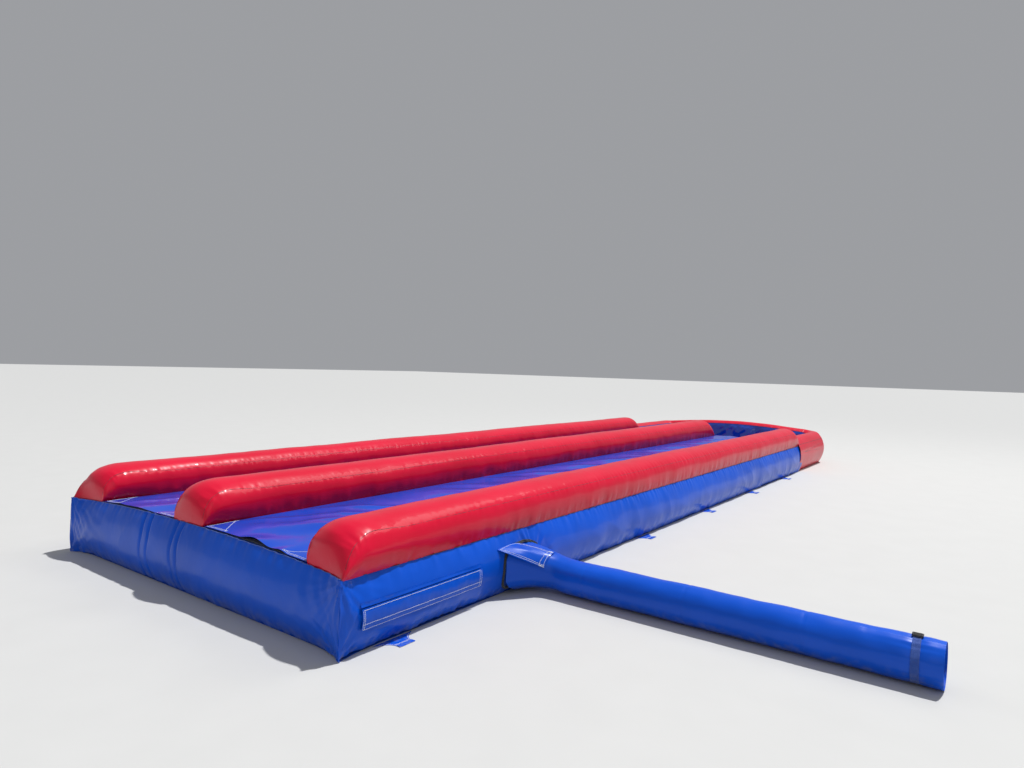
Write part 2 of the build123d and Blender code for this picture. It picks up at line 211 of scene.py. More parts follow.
@dataclass(frozen=True)
class Vinyl:
    """Coated vinyl sheet: a faint weave under a smooth coat, soft creases, and dust near the ground."""

    name: str
    colour: Colour
    shade: Colour
    roughness: float = 0.32
    coat: float = 0.14
    crease: float = 1.0
    dust: float = 0.35
    specular: float = 0.16

    WEAVE_PITCH = 0.0021
    WEAVE_HEIGHT = 0.0012
    CREASE_HEIGHT = 0.34
    FINE_HEIGHT = 0.010
    RELIEF_DEPTH = 0.006
    COAT_ROUGHNESS = 0.04
    DUST_COLOUR = (0.30, 0.29, 0.27)
    DUST_TOP = 0.11

    def material(self) -> bpy.types.Material:
        """Build the material."""
        graph = Graph(self.name + SURFACE)
        place = graph.place()
        along, across, _ = graph.axes(graph.place("UV"))
        _, _, height = graph.axes(place)
        turn = TURN / self.WEAVE_PITCH
        weave = graph.maths("SINE", along * turn) * graph.maths("SINE", across * turn)
        patch = graph.noise(place, 1.7, 4.0)
        crease = graph.noise(graph.stretched(place, (1.0, 0.45, 1.0)), 9.0, 1.5, 0.8)
        fine = graph.noise(place, 46.0, 3.0, 0.6)
        tint = graph.mixed(graph.between(patch, 0.32, 0.7), self.shade, self.colour)
        specks = graph.between(graph.noise(place, 23.0, 6.0), 0.44, 0.72)
        low = 1 - graph.between(height, 0.0, self.DUST_TOP)
        dusty = graph.mixed((low * specks * self.dust).clamped(), tint, self.DUST_COLOUR)
        gloss = self.roughness + 0.10 * (fine - 0.5) + 0.14 * specks * low
        relief = crease * (self.CREASE_HEIGHT * self.crease) + fine * (self.FINE_HEIGHT * self.crease)
        return graph.finish(
            Base_Color=dusty,
            Roughness=gloss,
            Specular_IOR_Level=self.specular,
            Coat_Weight=self.coat,
            Coat_Roughness=self.COAT_ROUGHNESS,
            Normal=graph.bump(relief + weave * self.WEAVE_HEIGHT, self.RELIEF_DEPTH),
        )


@dataclass(frozen=True)
class Webbing:
    """Woven polyester or hook-and-loop tape, ribbed across its width."""

    name: str
    colour: Colour
    light: Colour
    rib: float = 0.0032
    roughness: float = 0.8

    def material(self) -> bpy.types.Material:
        """Build the material."""
        graph = Graph(self.name + SURFACE)
        place = graph.place()
        x, y, z = graph.axes(place)
        turn = TURN / self.rib
        rib = graph.maths("SINE", (x + z) * turn) * graph.maths("SINE", y * turn)
        fibre = graph.noise(place, 240.0, 3.0)
        wear = graph.between(graph.noise(place, 18.0, 5.0), 0.4, 0.75)
        colour = graph.mixed((wear * 0.5 + fibre * 0.4).clamped(), self.colour, self.light)
        return graph.finish(
            Base_Color=colour,
            Roughness=self.roughness,
            Sheen_Weight=0.25,
            Normal=graph.bump(rib * 0.5 + fibre * 0.5, 0.0007),
        )


@dataclass(frozen=True)
class Moulded:
    """Moulded plastic with a fine grain and rubbed patches."""

    name: str
    colour: Colour
    rubbed: Colour
    roughness: float = 0.42

    def material(self) -> bpy.types.Material:
        """Build the material."""
        graph = Graph(self.name + SURFACE)
        place = graph.place()
        grain = graph.noise(place, 900.0, 2.0)
        rubbed = graph.between(graph.noise(place, 60.0, 4.0), 0.5, 0.8)
        return graph.finish(
            Base_Color=graph.mixed(rubbed, self.colour, self.rubbed),
            Roughness=self.roughness + 0.15 * rubbed,
            Normal=graph.bump(grain, 0.0002),
        )


@dataclass(frozen=True)
class Thread:
    """Twisted white sewing thread."""

    name: str
    colour: Colour = (0.78, 0.80, 0.84)
    soiled: Colour = (0.55, 0.56, 0.58)

    TWIST_TURN = 5200.0

    def material(self) -> bpy.types.Material:
        """Build the material."""
        graph = Graph(self.name + SURFACE)
        x, y, z = graph.axes(graph.place())
        twist = graph.maths("SINE", (x + y + z) * self.TWIST_TURN)
        dirt = graph.noise(graph.place(), 9.0, 4.0)
        colour = graph.mixed(graph.between(dirt, 0.45, 0.8), self.colour, self.soiled)
        return graph.finish(Base_Color=colour, Roughness=0.62, Normal=graph.bump(twist, 0.0002))


class Finish(Enum):
    """Every finish on the slide."""

    BLUE = Vinyl("blue_vinyl", (0.002, 0.088, 0.62), (0.002, 0.076, 0.54))
    RED = Vinyl("red_vinyl", (0.66, 0.003, 0.034), (0.60, 0.003, 0.028), coat=0.22, dust=0.08)
    LINER = Vinyl("liner_vinyl", (0.006, 0.062, 0.50), (0.004, 0.050, 0.43), 0.15, 0.08, 0.5, 0.0, 0.10)
    POOL_LINER = Vinyl(
        "pool_liner_vinyl", (0.006, 0.070, 0.52), (0.004, 0.042, 0.36), 0.10, 0.9, 1.2, 0.0, 0.4
    )
    BLUE_WEB = Webbing("blue_webbing", (0.012, 0.060, 0.32), (0.03, 0.10, 0.42))
    HEM = Webbing("hem_tape", (0.030, 0.010, 0.022), (0.07, 0.022, 0.035), 0.004, 0.65)
    # Near-black tape: the real colour of the zip tape; round the tube's mouth it also stands as painted shade
    # of the crease.
    BLACK_WEB = Webbing("black_binding", (0.006, 0.007, 0.010), (0.022, 0.023, 0.03))
    HOOK = Webbing("hook_and_loop", (0.02, 0.03, 0.06), (0.07, 0.08, 0.11), 0.0018, 0.95)
    PLASTIC = Moulded("black_plastic", (0.014, 0.014, 0.015), (0.05, 0.05, 0.05))
    THREAD = Thread("white_thread")

    def made(self) -> bpy.types.Material:
        """The finish's material, built the first time that it is asked for."""
        found = bpy.data.materials.get(self.value.name + SURFACE)
        return found or self.value.material()


# ---------------------------------------------------------------- mesh helpers
class SmoothNoise:
    """Seeded gradient noise on a plane, about -1 to 1."""

    SIZE = 256

    def __init__(self, seed: int) -> None:
        """Draw the lattice's directions."""
        self.angles = np.random.default_rng(seed).uniform(0, TURN, (self.SIZE, self.SIZE))

    def at(self, x: Array, y: Array) -> Array:
        """Noise at each place."""
        x, y = np.broadcast_arrays(np.asarray(x, float), np.asarray(y, float))
        cell_x, cell_y = np.floor(x).astype(int), np.floor(y).astype(int)
        in_x, in_y = x - cell_x, y - cell_y
        fade_x, fade_y = (t**3 * (t * (6 * t - 15) + 10) for t in (in_x, in_y))

        def corner(step_x: int, step_y: int) -> Array:
            """Share of one lattice point."""
            angle = self.angles[(cell_x + step_x) % self.SIZE, (cell_y + step_y) % self.SIZE]
            return np.cos(angle) * (in_x - step_x) + np.sin(angle) * (in_y - step_y)

        low = corner(0, 0) * (1 - fade_x) + corner(1, 0) * fade_x
        high = corner(0, 1) * (1 - fade_x) + corner(1, 1) * fade_x
        return 1.5 * (low * (1 - fade_y) + high * fade_y)

    def ridged(self, x: Array, y: Array) -> Array:
        """Sharp ridges between rounded hollows, about -1 to 1."""
        return 1 - 2.6 * np.abs(self.at(x, y))

    def pleats(self, along: Array, away: Array, pitch: float, reach: float) -> Array:
        """Puckers that run away from a seam and die out.

        Args:
            along: distance along the seam.
            away: distance from the seam.
            pitch: spacing of the puckers at the seam.
            reach: distance over which they fade.

        Returns:
            The height of the puckers, about -1 to 1.
        """
        fine = self.at(along / pitch, away / (4 * pitch)) * np.exp(-away / (0.5 * reach))
        wide = self.at(along / (1.9 * pitch) + 17.0, away / (7 * pitch)) * np.exp(-away / reach)
        return 1.2 * fine + 1.1 * wide

    def fan(self, across: Array, up: Array, phase: float, folds: float, length: float) -> Array:
        """Folds that spread from a corner or a hole.

        Args:
            across: distance sideways from the corner.
            up: distance upwards from it.
            phase: place in the noise.
            folds: number of folds in a radian.
            length: distance over which a fold changes.

        Returns:
            The height of the folds, about -1 to 1.
        """
        turn = np.arctan2(up, across + TINY)
        return self.at(turn * folds + phase, np.hypot(across, up) / length)


@dataclass(frozen=True)
class Gather:
    """One scale of puckers along a seam, and its own stretch of the noise."""

    height: float
    pitch: float
    reach: float
    shift: float = 0.0


def gathered(noise: SmoothNoise, along: Array, away: Array, *gathers: Gather) -> Array:
    """Relief of several scales of puckers at distances along a seam and away from it."""
    return sum(g.height * noise.pleats(along + g.shift, away, g.pitch, g.reach) for g in gathers)


def fading(distance: Array, length: float) -> Array:
    """1 at no distance, dying away over a length on both sides."""
    return np.exp(-np.abs(distance) / length)


def ridge(distance: Array, width: float) -> Array:
    """1 at no distance, falling off like a bell of the width given."""
    return np.exp(-(distance / width)**2)


def arched(share: Array) -> Array:
    """0 at both ends of a share and 1 half way, in a parabola."""
    return 1 - (2 * share - 1)**2


def smooth(t: Array) -> Array:
    """0 to 1 with level ends, held outside."""
    t = np.clip(t, 0.0, 1.0)
    return t * t * (3 - 2 * t)


def stacked(x: Array, y: Array, z: Array) -> Array:
    """Points from three arrays."""
    return np.stack(np.broadcast_arrays(x, y, z), axis=-1).astype(float)


def arc_at(points: Sequence[Tuple[float, float]], t: Array) -> Tuple[Array, Array]:
    """Places on the curve through three points, which it meets at 0, a half and 1."""
    (ax, ay), (bx, by), (cx, cy) = points
    first, middle, last = (1 - t) * (1 - 2 * t), 4 * t * (1 - t), t * (2 * t - 1)
    return ax * first + bx * middle + cx * last, ay * first + by * middle + cy * last


def normals_of(form: Form, u: Array, v: Array, step: float = 1e-3) -> Array:
    """Unit normals of a form, from small steps both ways."""
    across = form(np.clip(u + step, 0, 1), v) - form(np.clip(u - step, 0, 1), v)
    up = form(u, np.clip(v + step, 0, 1)) - form(u, np.clip(v - step, 0, 1))
    normal = np.cross(across, up)
    return normal / np.maximum(np.linalg.norm(normal, axis=-1, keepdims=True), 1e-12)


def raised(form: Form, relief: Relief) -> Form:
    """A form with a relief added along its normals."""

    def moved(u: Array, v: Array) -> Array:
        """Points of the wrinkled form."""
        return form(u, v) + normals_of(form, u, v) * relief(u, v)[..., None]

    return moved


def linked(name: str, data: Any) -> Piece:
    """New object in the scene."""
    made = bpy.data.objects.new(name, data)
    bpy.context.scene.collection.objects.link(made)
    return made


def deselect() -> None:
    """Leave edit mode with nothing selected."""
    if bpy.context.object and bpy.context.object.mode != "OBJECT":
        bpy.ops.object.mode_set(mode="OBJECT")
    bpy.ops.object.select_all(action="DESELECT")


def activate(piece: Piece) -> None:
    """Select one piece alone."""
    deselect()
    piece.select_set(True)
    bpy.context.view_layer.objects.active = piece


def dress(piece: Piece, finish: Finish) -> None:
    """Give a piece one finish."""
    piece.data.materials.clear()
    piece.data.materials.append(finish.made())


def panel(
    name: str, columns: int, rows: int, form: Form, size: Tuple[float, float], finish: Finish
) -> Piece:
    """Grid moved onto a form, with its UV map in metres.

    Args:
        name: name of the piece.
        columns: cells along u.
        rows: cells along v.
        form: gives the points for u and v from 0 to 1.
        size: length along u and v, in metres.
        finish: the panel's finish.

    Returns:
        The panel, with the normals that the form gives.
    """
    deselect()
    bpy.ops.mesh.primitive_grid_add(x_subdivisions=columns, y_subdivisions=rows, size=1.0)
    piece = bpy.context.object
    piece.name = piece.data.name = name
    flat = np.zeros(len(piece.data.vertices) * 3)
    piece.data.vertices.foreach_get("co", flat)
    flat = flat.reshape(-1, 3)
    piece.data.vertices.foreach_set("co", form(flat[:, 0] + 0.5, flat[:, 1] + 0.5).ravel())
    uv = piece.data.uv_layers.active.data
    places = np.zeros(len(uv) * 2)
    uv.foreach_get("uv", places)
    uv.foreach_set("uv", (places.reshape(-1, 2) * np.array(size)).ravel())
    dress(piece, finish)
    piece.data.update()
    return piece


def apply_modifier(piece: Piece, kind: str, **settings: Any) -> None:
    """Add a modifier with its settings and apply it."""
    activate(piece)
    modifier = piece.modifiers.new(kind.lower(), kind)
    for key, value in settings.items():
        setattr(modifier, key, value)
    bpy.ops.object.modifier_apply(modifier=modifier.name)


def merge_points(piece: Piece, threshold: float) -> None:
    """Merge the points that lie closer than a threshold, and stay in edit mode."""
    activate(piece)
    bpy.ops.object.mode_set(mode="EDIT")
    bpy.ops.mesh.select_mode(type="VERT")
    bpy.ops.mesh.select_all(action="SELECT")
    bpy.ops.mesh.remove_doubles(threshold=threshold)


def bevelled_block(size: Tuple[float, float, float], bevel: float, segments: int) -> Piece:
    """Block at the origin with bevelled edges."""
    deselect()
    bpy.ops.mesh.primitive_cube_add(size=1.0)
    block = bpy.context.object
    bpy.ops.object.mode_set(mode="EDIT")
    bpy.ops.mesh.select_all(action="SELECT")
    bpy.ops.transform.resize(value=size)
    bpy.ops.mesh.bevel(offset=bevel, segments=segments)
    bpy.ops.object.mode_set(mode="OBJECT")
    return block


def shade(piece: Piece, angle: float = SMOOTH_ANGLE) -> None:
    """Smooth shading that keeps sharp seams."""
    activate(piece)
    bpy.ops.object.shade_smooth_by_angle(angle=angle)


def thicken(piece: Piece, thickness: float = SKIN) -> Piece:
    """Give an open panel its thickness, inwards, and smooth it."""
    apply_modifier(piece, "SOLIDIFY", thickness=thickness, offset=-1.0)
    shade(piece)
    return piece


def close_up(piece: Piece) -> None:
    """Merge doubled points and close the open rim with one face."""
    merge_points(piece, 0.0004)
    bpy.ops.mesh.select_all(action="DESELECT")
    bpy.ops.mesh.select_non_manifold(
        extend=False, use_multi_face=False, use_non_contiguous=False, use_verts=False
    )
    bpy.ops.mesh.edge_face_add()
    bpy.ops.mesh.select_all(action="SELECT")
    bpy.ops.mesh.normals_make_consistent(inside=False)
    bpy.ops.object.mode_set(mode="OBJECT")
    shade(piece)


def rope(name: str, points: Array, radius: float, finish: Finish, closed: bool = False) -> Piece:
    """Round cord or welt along a line of points, made as a bevelled curve and then a mesh."""
    curve = bpy.data.curves.new(name, "CURVE")
    curve.dimensions = "3D"
    curve.bevel_depth = radius
    curve.bevel_resolution = 2
    curve.use_fill_caps = not closed
    spline = curve.splines.new("POLY")
    spline.points.add(len(points) - 1)
    spline.points.foreach_set("co", np.c_[points, np.ones(len(points))].ravel())
    spline.use_cyclic_u = closed
    activate(linked(name, curve))
    bpy.ops.object.convert(target="MESH")
    piece = bpy.context.object
    piece.name = piece.data.name = name
    dress(piece, finish)
    shade(piece, math.radians(60))
    return piece


def joined(name: str, pieces: Sequence[Piece]) -> Piece:
    """Join several pieces into one."""
    activate(pieces[0])
    for piece in pieces:
        piece.select_set(True)
    bpy.ops.object.join()
    whole = bpy.context.object
    whole.name = whole.data.name = name
    return whole


class Stitching:
    """Rows of thread on a surface: one stitch is modelled and then copied along each line."""

    PITCH = 0.0105
    LENGTH = 0.0082
    WIDTH = 0.0026
    PROUD = 0.0012
    LOOK = 0.003
    LIFT = 0.0004

    def __init__(self, name: str) -> None:
        """Start with no rows."""
        self.name = name
        self.rows: List[Tuple[Array, Array]] = []

    def on(self, form: Form, u: Any, v: Any) -> None:
        """Add a row along places on a form; either of u and v may be one number."""
        u, v = np.broadcast_arrays(np.asarray(u, float), np.asarray(v, float))
        self.rows.append((form(u, v), normals_of(form, u, v)))

    @staticmethod
    def _sampled(places: Array, run: Array, values: Array) -> Array:
        """Rows of values that are known along a run, at other places along it."""
        return np.stack([np.interp(places, run, values[:, i]) for i in range(3)], axis=1)

    def _one(self) -> Tuple[Array, List[Tuple[int, ...]]]:
        """Corners and faces of one stitch, lying along X with Z away from the cloth."""
        block = bevelled_block((self.LENGTH, self.WIDTH, self.PROUD), self.PROUD * 0.4, 1)
        corners = np.array([v.co for v in block.data.vertices])
        faces = [tuple(p.vertices) for p in block.data.polygons]
        bpy.data.objects.remove(block)
        return corners, faces

    def made(self) -> Piece:
        """Model every row as one piece of thread."""
        corners, faces = self._one()
        points: List[Array] = []
        for line, normals in self.rows:
            run = np.r_[0, np.cumsum(np.linalg.norm(np.diff(line, axis=0), axis=1))]
            middles = np.arange(self.PITCH / 2, run[-1], self.PITCH)
            up = self._sampled(middles, run, normals)
            along = self._sampled(middles + self.LOOK, run, line)
            along -= self._sampled(middles - self.LOOK, run, line)
            along /= np.linalg.norm(along, axis=1, keepdims=True)
            side = np.cross(up, along)
            side /= np.maximum(np.linalg.norm(side, axis=1, keepdims=True), 1e-9)
            up = np.cross(along, side)
            for c, a, s, n in zip(self._sampled(middles, run, line), along, side, up):
                points.append(c + n * self.LIFT + corners @ np.stack([a, s, n]))
        count = len(corners)
        all_faces = [tuple(i + k * count for i in f) for k in range(len(points)) for f in faces]
        mesh = bpy.data.meshes.new(self.name)
        mesh.from_pydata(np.concatenate(points).tolist(), [], all_faces)
        piece = linked(self.name, mesh)
        dress(piece, Finish.THREAD)
        return piece


# ---------------------------------------------------------------- the slide's main sizes
@dataclass(frozen=True)
class Layout:
    """Sizes that several sub-assemblies share, read from the frame."""

    seam_x: float
    tip_x: float
    base_height: float
    crown: float
    front_tip_y: float
    front_seam_y: float
    base_end_y: float

    SIDE_BULGE = 0.065
    SIDE_EAR = 0.30
    FRONT_EAR = 0.36
    EAR_POWER = 2.6
    TIP_RISE = 0.018
    TIP_IN = 0.004

    @classmethod
    def read(cls) -> "Layout":
        """Read the boxes of the base's panels."""
        wall_low, wall_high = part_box("base_wall_right")
        front_low, front_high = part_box("base_wall_front")
        return cls(
            seam_x=wall_low.x + CAD_SEAM,
            tip_x=front_high.x + 0.008,
            base_height=wall_high.z,
            crown=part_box("base_deck")[1].z - wall_high.z,
            front_tip_y=front_low.y,
            front_seam_y=front_high.y - CAD_SEAM,
            base_end_y=wall_high.y,
        )

    def deck_z(self, x: Array) -> Array:
        """Height of the crowned deck."""
        return self.base_height + self.crown * (1 - np.clip(np.abs(x) / self.seam_x, 0, 1)**2)

    def side_ear(self, y: Array) -> Array:
        """1 at a front corner's tip, falling to 0 along the side wall."""
        return np.clip(1 - (y - self.front_tip_y) / self.SIDE_EAR, 0, 1)**self.EAR_POWER

    def front_ear(self, x: Array) -> Array:
        """1 at a front corner's tip, falling to 0 along the front wall."""
        return np.clip(1 - (self.tip_x - np.abs(x)) / self.FRONT_EAR, 0, 1)**self.EAR_POWER

    def edge_x(self, y: Array) -> Array:
        """Half width between the side seams."""
        return self.seam_x + (self.tip_x - self.TIP_IN - self.seam_x) * self.side_ear(y)

    def edge_y(self, x: Array) -> Array:
        """Place of the front seam."""
        reach = self.front_seam_y - self.front_tip_y - self.TIP_IN
        return self.front_seam_y - reach * self.front_ear(x)


# ---------------------------------------------------------------- base chamber
class Side(Enum):
    """The two sides of the slide."""

    LEFT = -1
    RIGHT = 1

    @property
    def word(self) -> str:
        """The side's name in piece names."""
        return self.name.lower()


@dataclass
class SideWall:
    """Bulging side wall with gathered seams, a flared front tip and a convex rear seam."""

    layout: Layout
    side: Side
    seed: int
    mouth_y: float = 0.0
    mouth_z: float = 0.18
    mouth_radius: float = 0.21

    REAR_BOW = 0.105
    REAR_RUN = 0.6
    FOOT_GATHERS = (Gather(0.0090, 0.050, 0.085), Gather(0.0110, 0.160, 0.180, 31.0))
    HEAD_GATHER = Gather(0.0065, 0.042, 0.065, 57.0)
    CORNER_FOLD = 0.0130

    def __post_init__(self) -> None:
        """Draw this wall's wrinkles."""
        self.noise = SmoothNoise(self.seed)

    def wrinkles(self, y: Array, z: Array) -> Array:
        """Relief of the wall at a place along it and a height."""
        noise, height = self.noise, self.layout.base_height
        arc = arched(np.clip(z / height, 0, 1))
        relief = gathered(noise, y, z, *self.FOOT_GATHERS) + gathered(noise, y, height - z, self.HEAD_GATHER)
        relief += 0.0070 * noise.at(y / 0.80, z / 0.4 + 7.0) * arc
        relief += 0.0050 * noise.ridged((y + 0.7 * z) / 0.42 + 30.0, z / 0.55) * arc
        from_tip = y - self.layout.front_tip_y
        for corner_z in (0.0, height):
            fan = noise.fan(from_tip, z - corner_z, corner_z * 40, 7.0, 0.22)
            relief += self.CORNER_FOLD * fan * fading(np.hypot(from_tip, z - corner_z), 0.24)
        if self.side is Side.RIGHT:
            relief = self._round_openings(y, z, relief)
        return relief

    def _round_openings(self, y: Array, z: Array, relief: Array) -> Array:
        """Add the folds round the tube's mouth and flatten the wall behind the zip's cover flap."""
        turn = np.arctan2(z - self.mouth_z, y - self.mouth_y + TINY)
        away = np.clip(np.hypot(y - self.mouth_y, z - self.mouth_z) - self.mouth_radius, 0, None)
        relief = relief + 0.0085 * self.noise.at(turn * 5.0 + 9.0, away / 0.35) * fading(away, 0.12)
        relief -= 0.010 * fading(away, 0.05)
        low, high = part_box("zip_flap")
        margin = 0.03
        along = smooth((y - low.y + margin) / 0.04) * smooth((high.y + margin - y) / 0.04)
        upright = smooth((z - low.z + margin) / margin) * smooth((high.z + margin - z) / margin)
        return relief - along * upright * np.clip(relief + 0.002, 0, None)

    def surface(self, y: Array, z: Array) -> Array:
        """Outer face of the wall at a place along it and a height."""
        layout = self.layout
        share = np.clip(z / layout.base_height, 0, 1)
        arc = arched(share)
        rear = smooth((y - (layout.base_end_y - self.REAR_RUN)) / self.REAR_RUN)
        bulge = layout.SIDE_BULGE * (1 - 0.9 * layout.side_ear(y)) * (1 - 0.30 * rear)
        x = layout.edge_x(y) + bulge * arc + self.wrinkles(y, z)
        rise = layout.TIP_RISE * np.exp(-(y - layout.front_tip_y) / 0.12) * share
        raised_foot = 0.008 * (1 + self.noise.at(y / 0.5, 0.5)) + 0.010 * ridge(y + 5.05, 0.35)
        lift = raised_foot * (1 - share)**4 * (1 - rear)
        y_out = y + self.REAR_BOW * rear**2 * arc**0.8
        return stacked(x * self.side.value, y_out, z + rise + lift)

    def form(self, u: Array, v: Array) -> Array:
        """The wall for u along it and v up it, with its face outwards."""
        layout = self.layout
        along = u if self.side is Side.RIGHT else 1 - u
        y = layout.front_tip_y + (layout.base_end_y - layout.front_tip_y) * along
        return self.surface(y, v * layout.base_height)

    def build(self) -> Piece:
        """Model the wall."""
        length = self.layout.base_end_y - self.layout.front_tip_y
        name = f"{self.side.word}_wall_panel"
        return thicken(panel(name, 970, 30, self.form, (length, 0.47), Finish.BLUE))

    def welt(self) -> Piece:
        """Folded hem tape along the wall's top seam, under the rail."""
        layout = self.layout
        y = np.linspace(layout.front_tip_y + 0.01, layout.base_end_y - 0.02, 600)
        points = self.surface(y, np.full_like(y, layout.base_height))
        points[:, 0] += 0.001 * self.side.value
        points[:, 2] += 0.002 + 0.002 * self.noise.at(y / 0.08, 3.0)
        return rope(f"{self.side.word}_hem_tape", points, 0.0026, Finish.HEM)


@dataclass
class BaseChamber:
    """Blue inflated base: walls, deck and ground panel."""

    layout: Layout
    mouth_y: float

    FOOT_GATHER = Gather(0.0075, 0.060, 0.090)
    HEAD_GATHER = Gather(0.0060, 0.050, 0.065, 41.0)
    REAR_GATHER = Gather(0.004, 0.07, 0.1, 7.0)
    CREASES = (-0.547, -0.449, -0.113, -0.034)
    REAR_HALF = 1.34

    def __post_init__(self) -> None:
        """Make both side walls and this chamber's own wrinkles."""
        self.noise = SmoothNoise(11)
        self.right = SideWall(self.layout, Side.RIGHT, 3, self.mouth_y)
        self.left = SideWall(self.layout, Side.LEFT, 5)

    def front_form(self, u: Array, v: Array) -> Array:
        """Front wall for u across it and v up it."""
        layout, noise = self.layout, self.noise
        x = layout.tip_x * (2 * u - 1) * (1 - 0.0008)
        top = layout.deck_z(x) + layout.TIP_RISE * layout.front_ear(x)
        z = v * top
        arc = arched(v)
        y = layout.edge_y(x) - layout.SIDE_BULGE * (1 - 0.9 * layout.front_ear(x)) * arc
        relief = gathered(noise, x, z, self.FOOT_GATHER) + gathered(noise, x, top - z, self.HEAD_GATHER)
        relief += 0.0080 * noise.at(x / 0.6, z / 0.4 + 3.0) * arc
        relief += 0.0048 * noise.ridged((x - 0.5 * z) / 0.4 + 12.0, z / 0.6) * arc
        for crease_x in self.CREASES:
            line = crease_x + 0.02 * noise.at(z / 0.2, crease_x * 9)
            relief -= 0.014 * ridge(x - line, 0.013) * (0.35 + 0.65 * v)
        for sign in (-1, 1):
            from_tip = np.abs(x - sign * layout.tip_x)
            for phase, corner_z in ((0.0, 0.0), (20.0, layout.base_height)):
                fan = noise.fan(from_tip, z - corner_z, phase + 5 * sign, 7.0, 0.22)
                relief += SideWall.CORNER_FOLD * fan * fading(np.hypot(from_tip, z - corner_z), 0.26)
        lift = 0.006 * (1 - v)**4 * (1 + noise.at(x / 0.4, 8.5)) * (1 - layout.front_ear(x))
        return stacked(x, y - relief, z + lift)

    def _plan(self, share: Array, v: Array) -> Tuple[Array, Array]:
        """Place in plan, from a share of the half width and v along the chamber."""
        start = self.layout.edge_y(share * self.layout.seam_x)
        y = start + (self.layout.base_end_y - start) * v
        return share * self.layout.edge_x(y), y

    def deck_form(self, u: Array, v: Array) -> Array:
        """Deck for u across it and v along it."""
        layout = self.layout
        x, y = self._plan(2 * u - 1, v)
        ripple = 0.002 * self.noise.at(x / 0.25, y / 0.3) * np.sin(np.pi * np.clip(v, 0, 1))
        rise = (layout.TIP_RISE - 0.002) * layout.side_ear(y) * np.abs(2 * u - 1)**8
        return stacked(x, y, layout.deck_z(x) - 0.003 + ripple + rise)

    def ground_form(self, u: Array, v: Array) -> Array:
        """Ground panel, facing down."""
        x, y = self._plan(1 - 2 * u, v)
        return stacked(x, y, 0.002 + 0.001 * self.noise.at(x / 0.3, y / 0.4))

    def rear_form(self, u: Array, v: Array) -> Array:
        """Wall over the pool for u across it and v up it."""
        x = (1 - 2 * u) * self.REAR_HALF
        z = 0.02 + v * (self.layout.deck_z(x) - 0.024)
        relief = 0.006 * self.noise.at(x / 0.14 + 9, z / 0.5) + gathered(self.noise, x, z, self.REAR_GATHER)
        return stacked(x, self.layout.base_end_y + 0.045 * arched(v) + relief, z)

    def build(self) -> List[Piece]:
        """Model the chamber's panels and let them stand for the CAD ones."""
        layout = self.layout
        length = layout.base_end_y - layout.front_seam_y
        plan = (2 * layout.seam_x, length)
        right, left = self.right.build(), self.left.build()
        front = panel("front_wall_panel", 420, 34, self.front_form, (2 * layout.tip_x, 0.5), Finish.BLUE)
        deck = panel("deck_panel", 90, 240, self.deck_form, plan, Finish.BLUE)
        ground = panel("ground_panel", 40, 100, self.ground_form, plan, Finish.BLUE)
        rear = panel("rear_wall_panel", 240, 30, self.rear_form, (2 * self.REAR_HALF, 0.48), Finish.BLUE)
        for piece, thickness in ((front, SKIN), (deck, SKIN), (rear, SKIN), (ground, 0.001)):
            thicken(piece, thickness)
        for piece, node in (
            (right, "base_wall_right"), (left, "base_wall_left"), (front, "base_wall_front"),
            (deck, "base_deck"), (ground, "base_floor"), (rear, "base_wall_rear"),
        ):
            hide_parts(node)
        welts = [self.right.welt(), self.left.welt(), self.front_welt(), *self.corner_welts()]
        return [right, left, front, deck, ground, rear, joined("hem_tapes", welts)]

    def front_welt(self) -> Piece:
        """Hem tape along the front top seam."""
        x = np.linspace(-self.layout.tip_x + 0.01, self.layout.tip_x - 0.01, 260)
        u = (x / self.layout.tip_x + 1) / 2
        points = self.front_form(u, np.ones_like(u)) + np.array([0, -0.001, 0.002])
        return rope("front_hem_tape", points, 0.0024, Finish.BLUE_WEB)

    def corner_welts(self) -> List[Piece]:
        """Vertical seam cords at the two front tips."""
        made = []
        for sign in (-1, 1):
            z = np.linspace(0.006, self.layout.base_height + self.layout.TIP_RISE - 0.004, 40)
            wobble = 0.0015 * self.noise.at(z / 0.03, sign * 3.5)
            x = sign * (self.layout.tip_x - 0.003 + wobble)
            points = stacked(x, self.layout.front_tip_y + 0.003, z)
            made.append(rope("corner_cord", points, 0.003, Finish.BLUE))
        return made


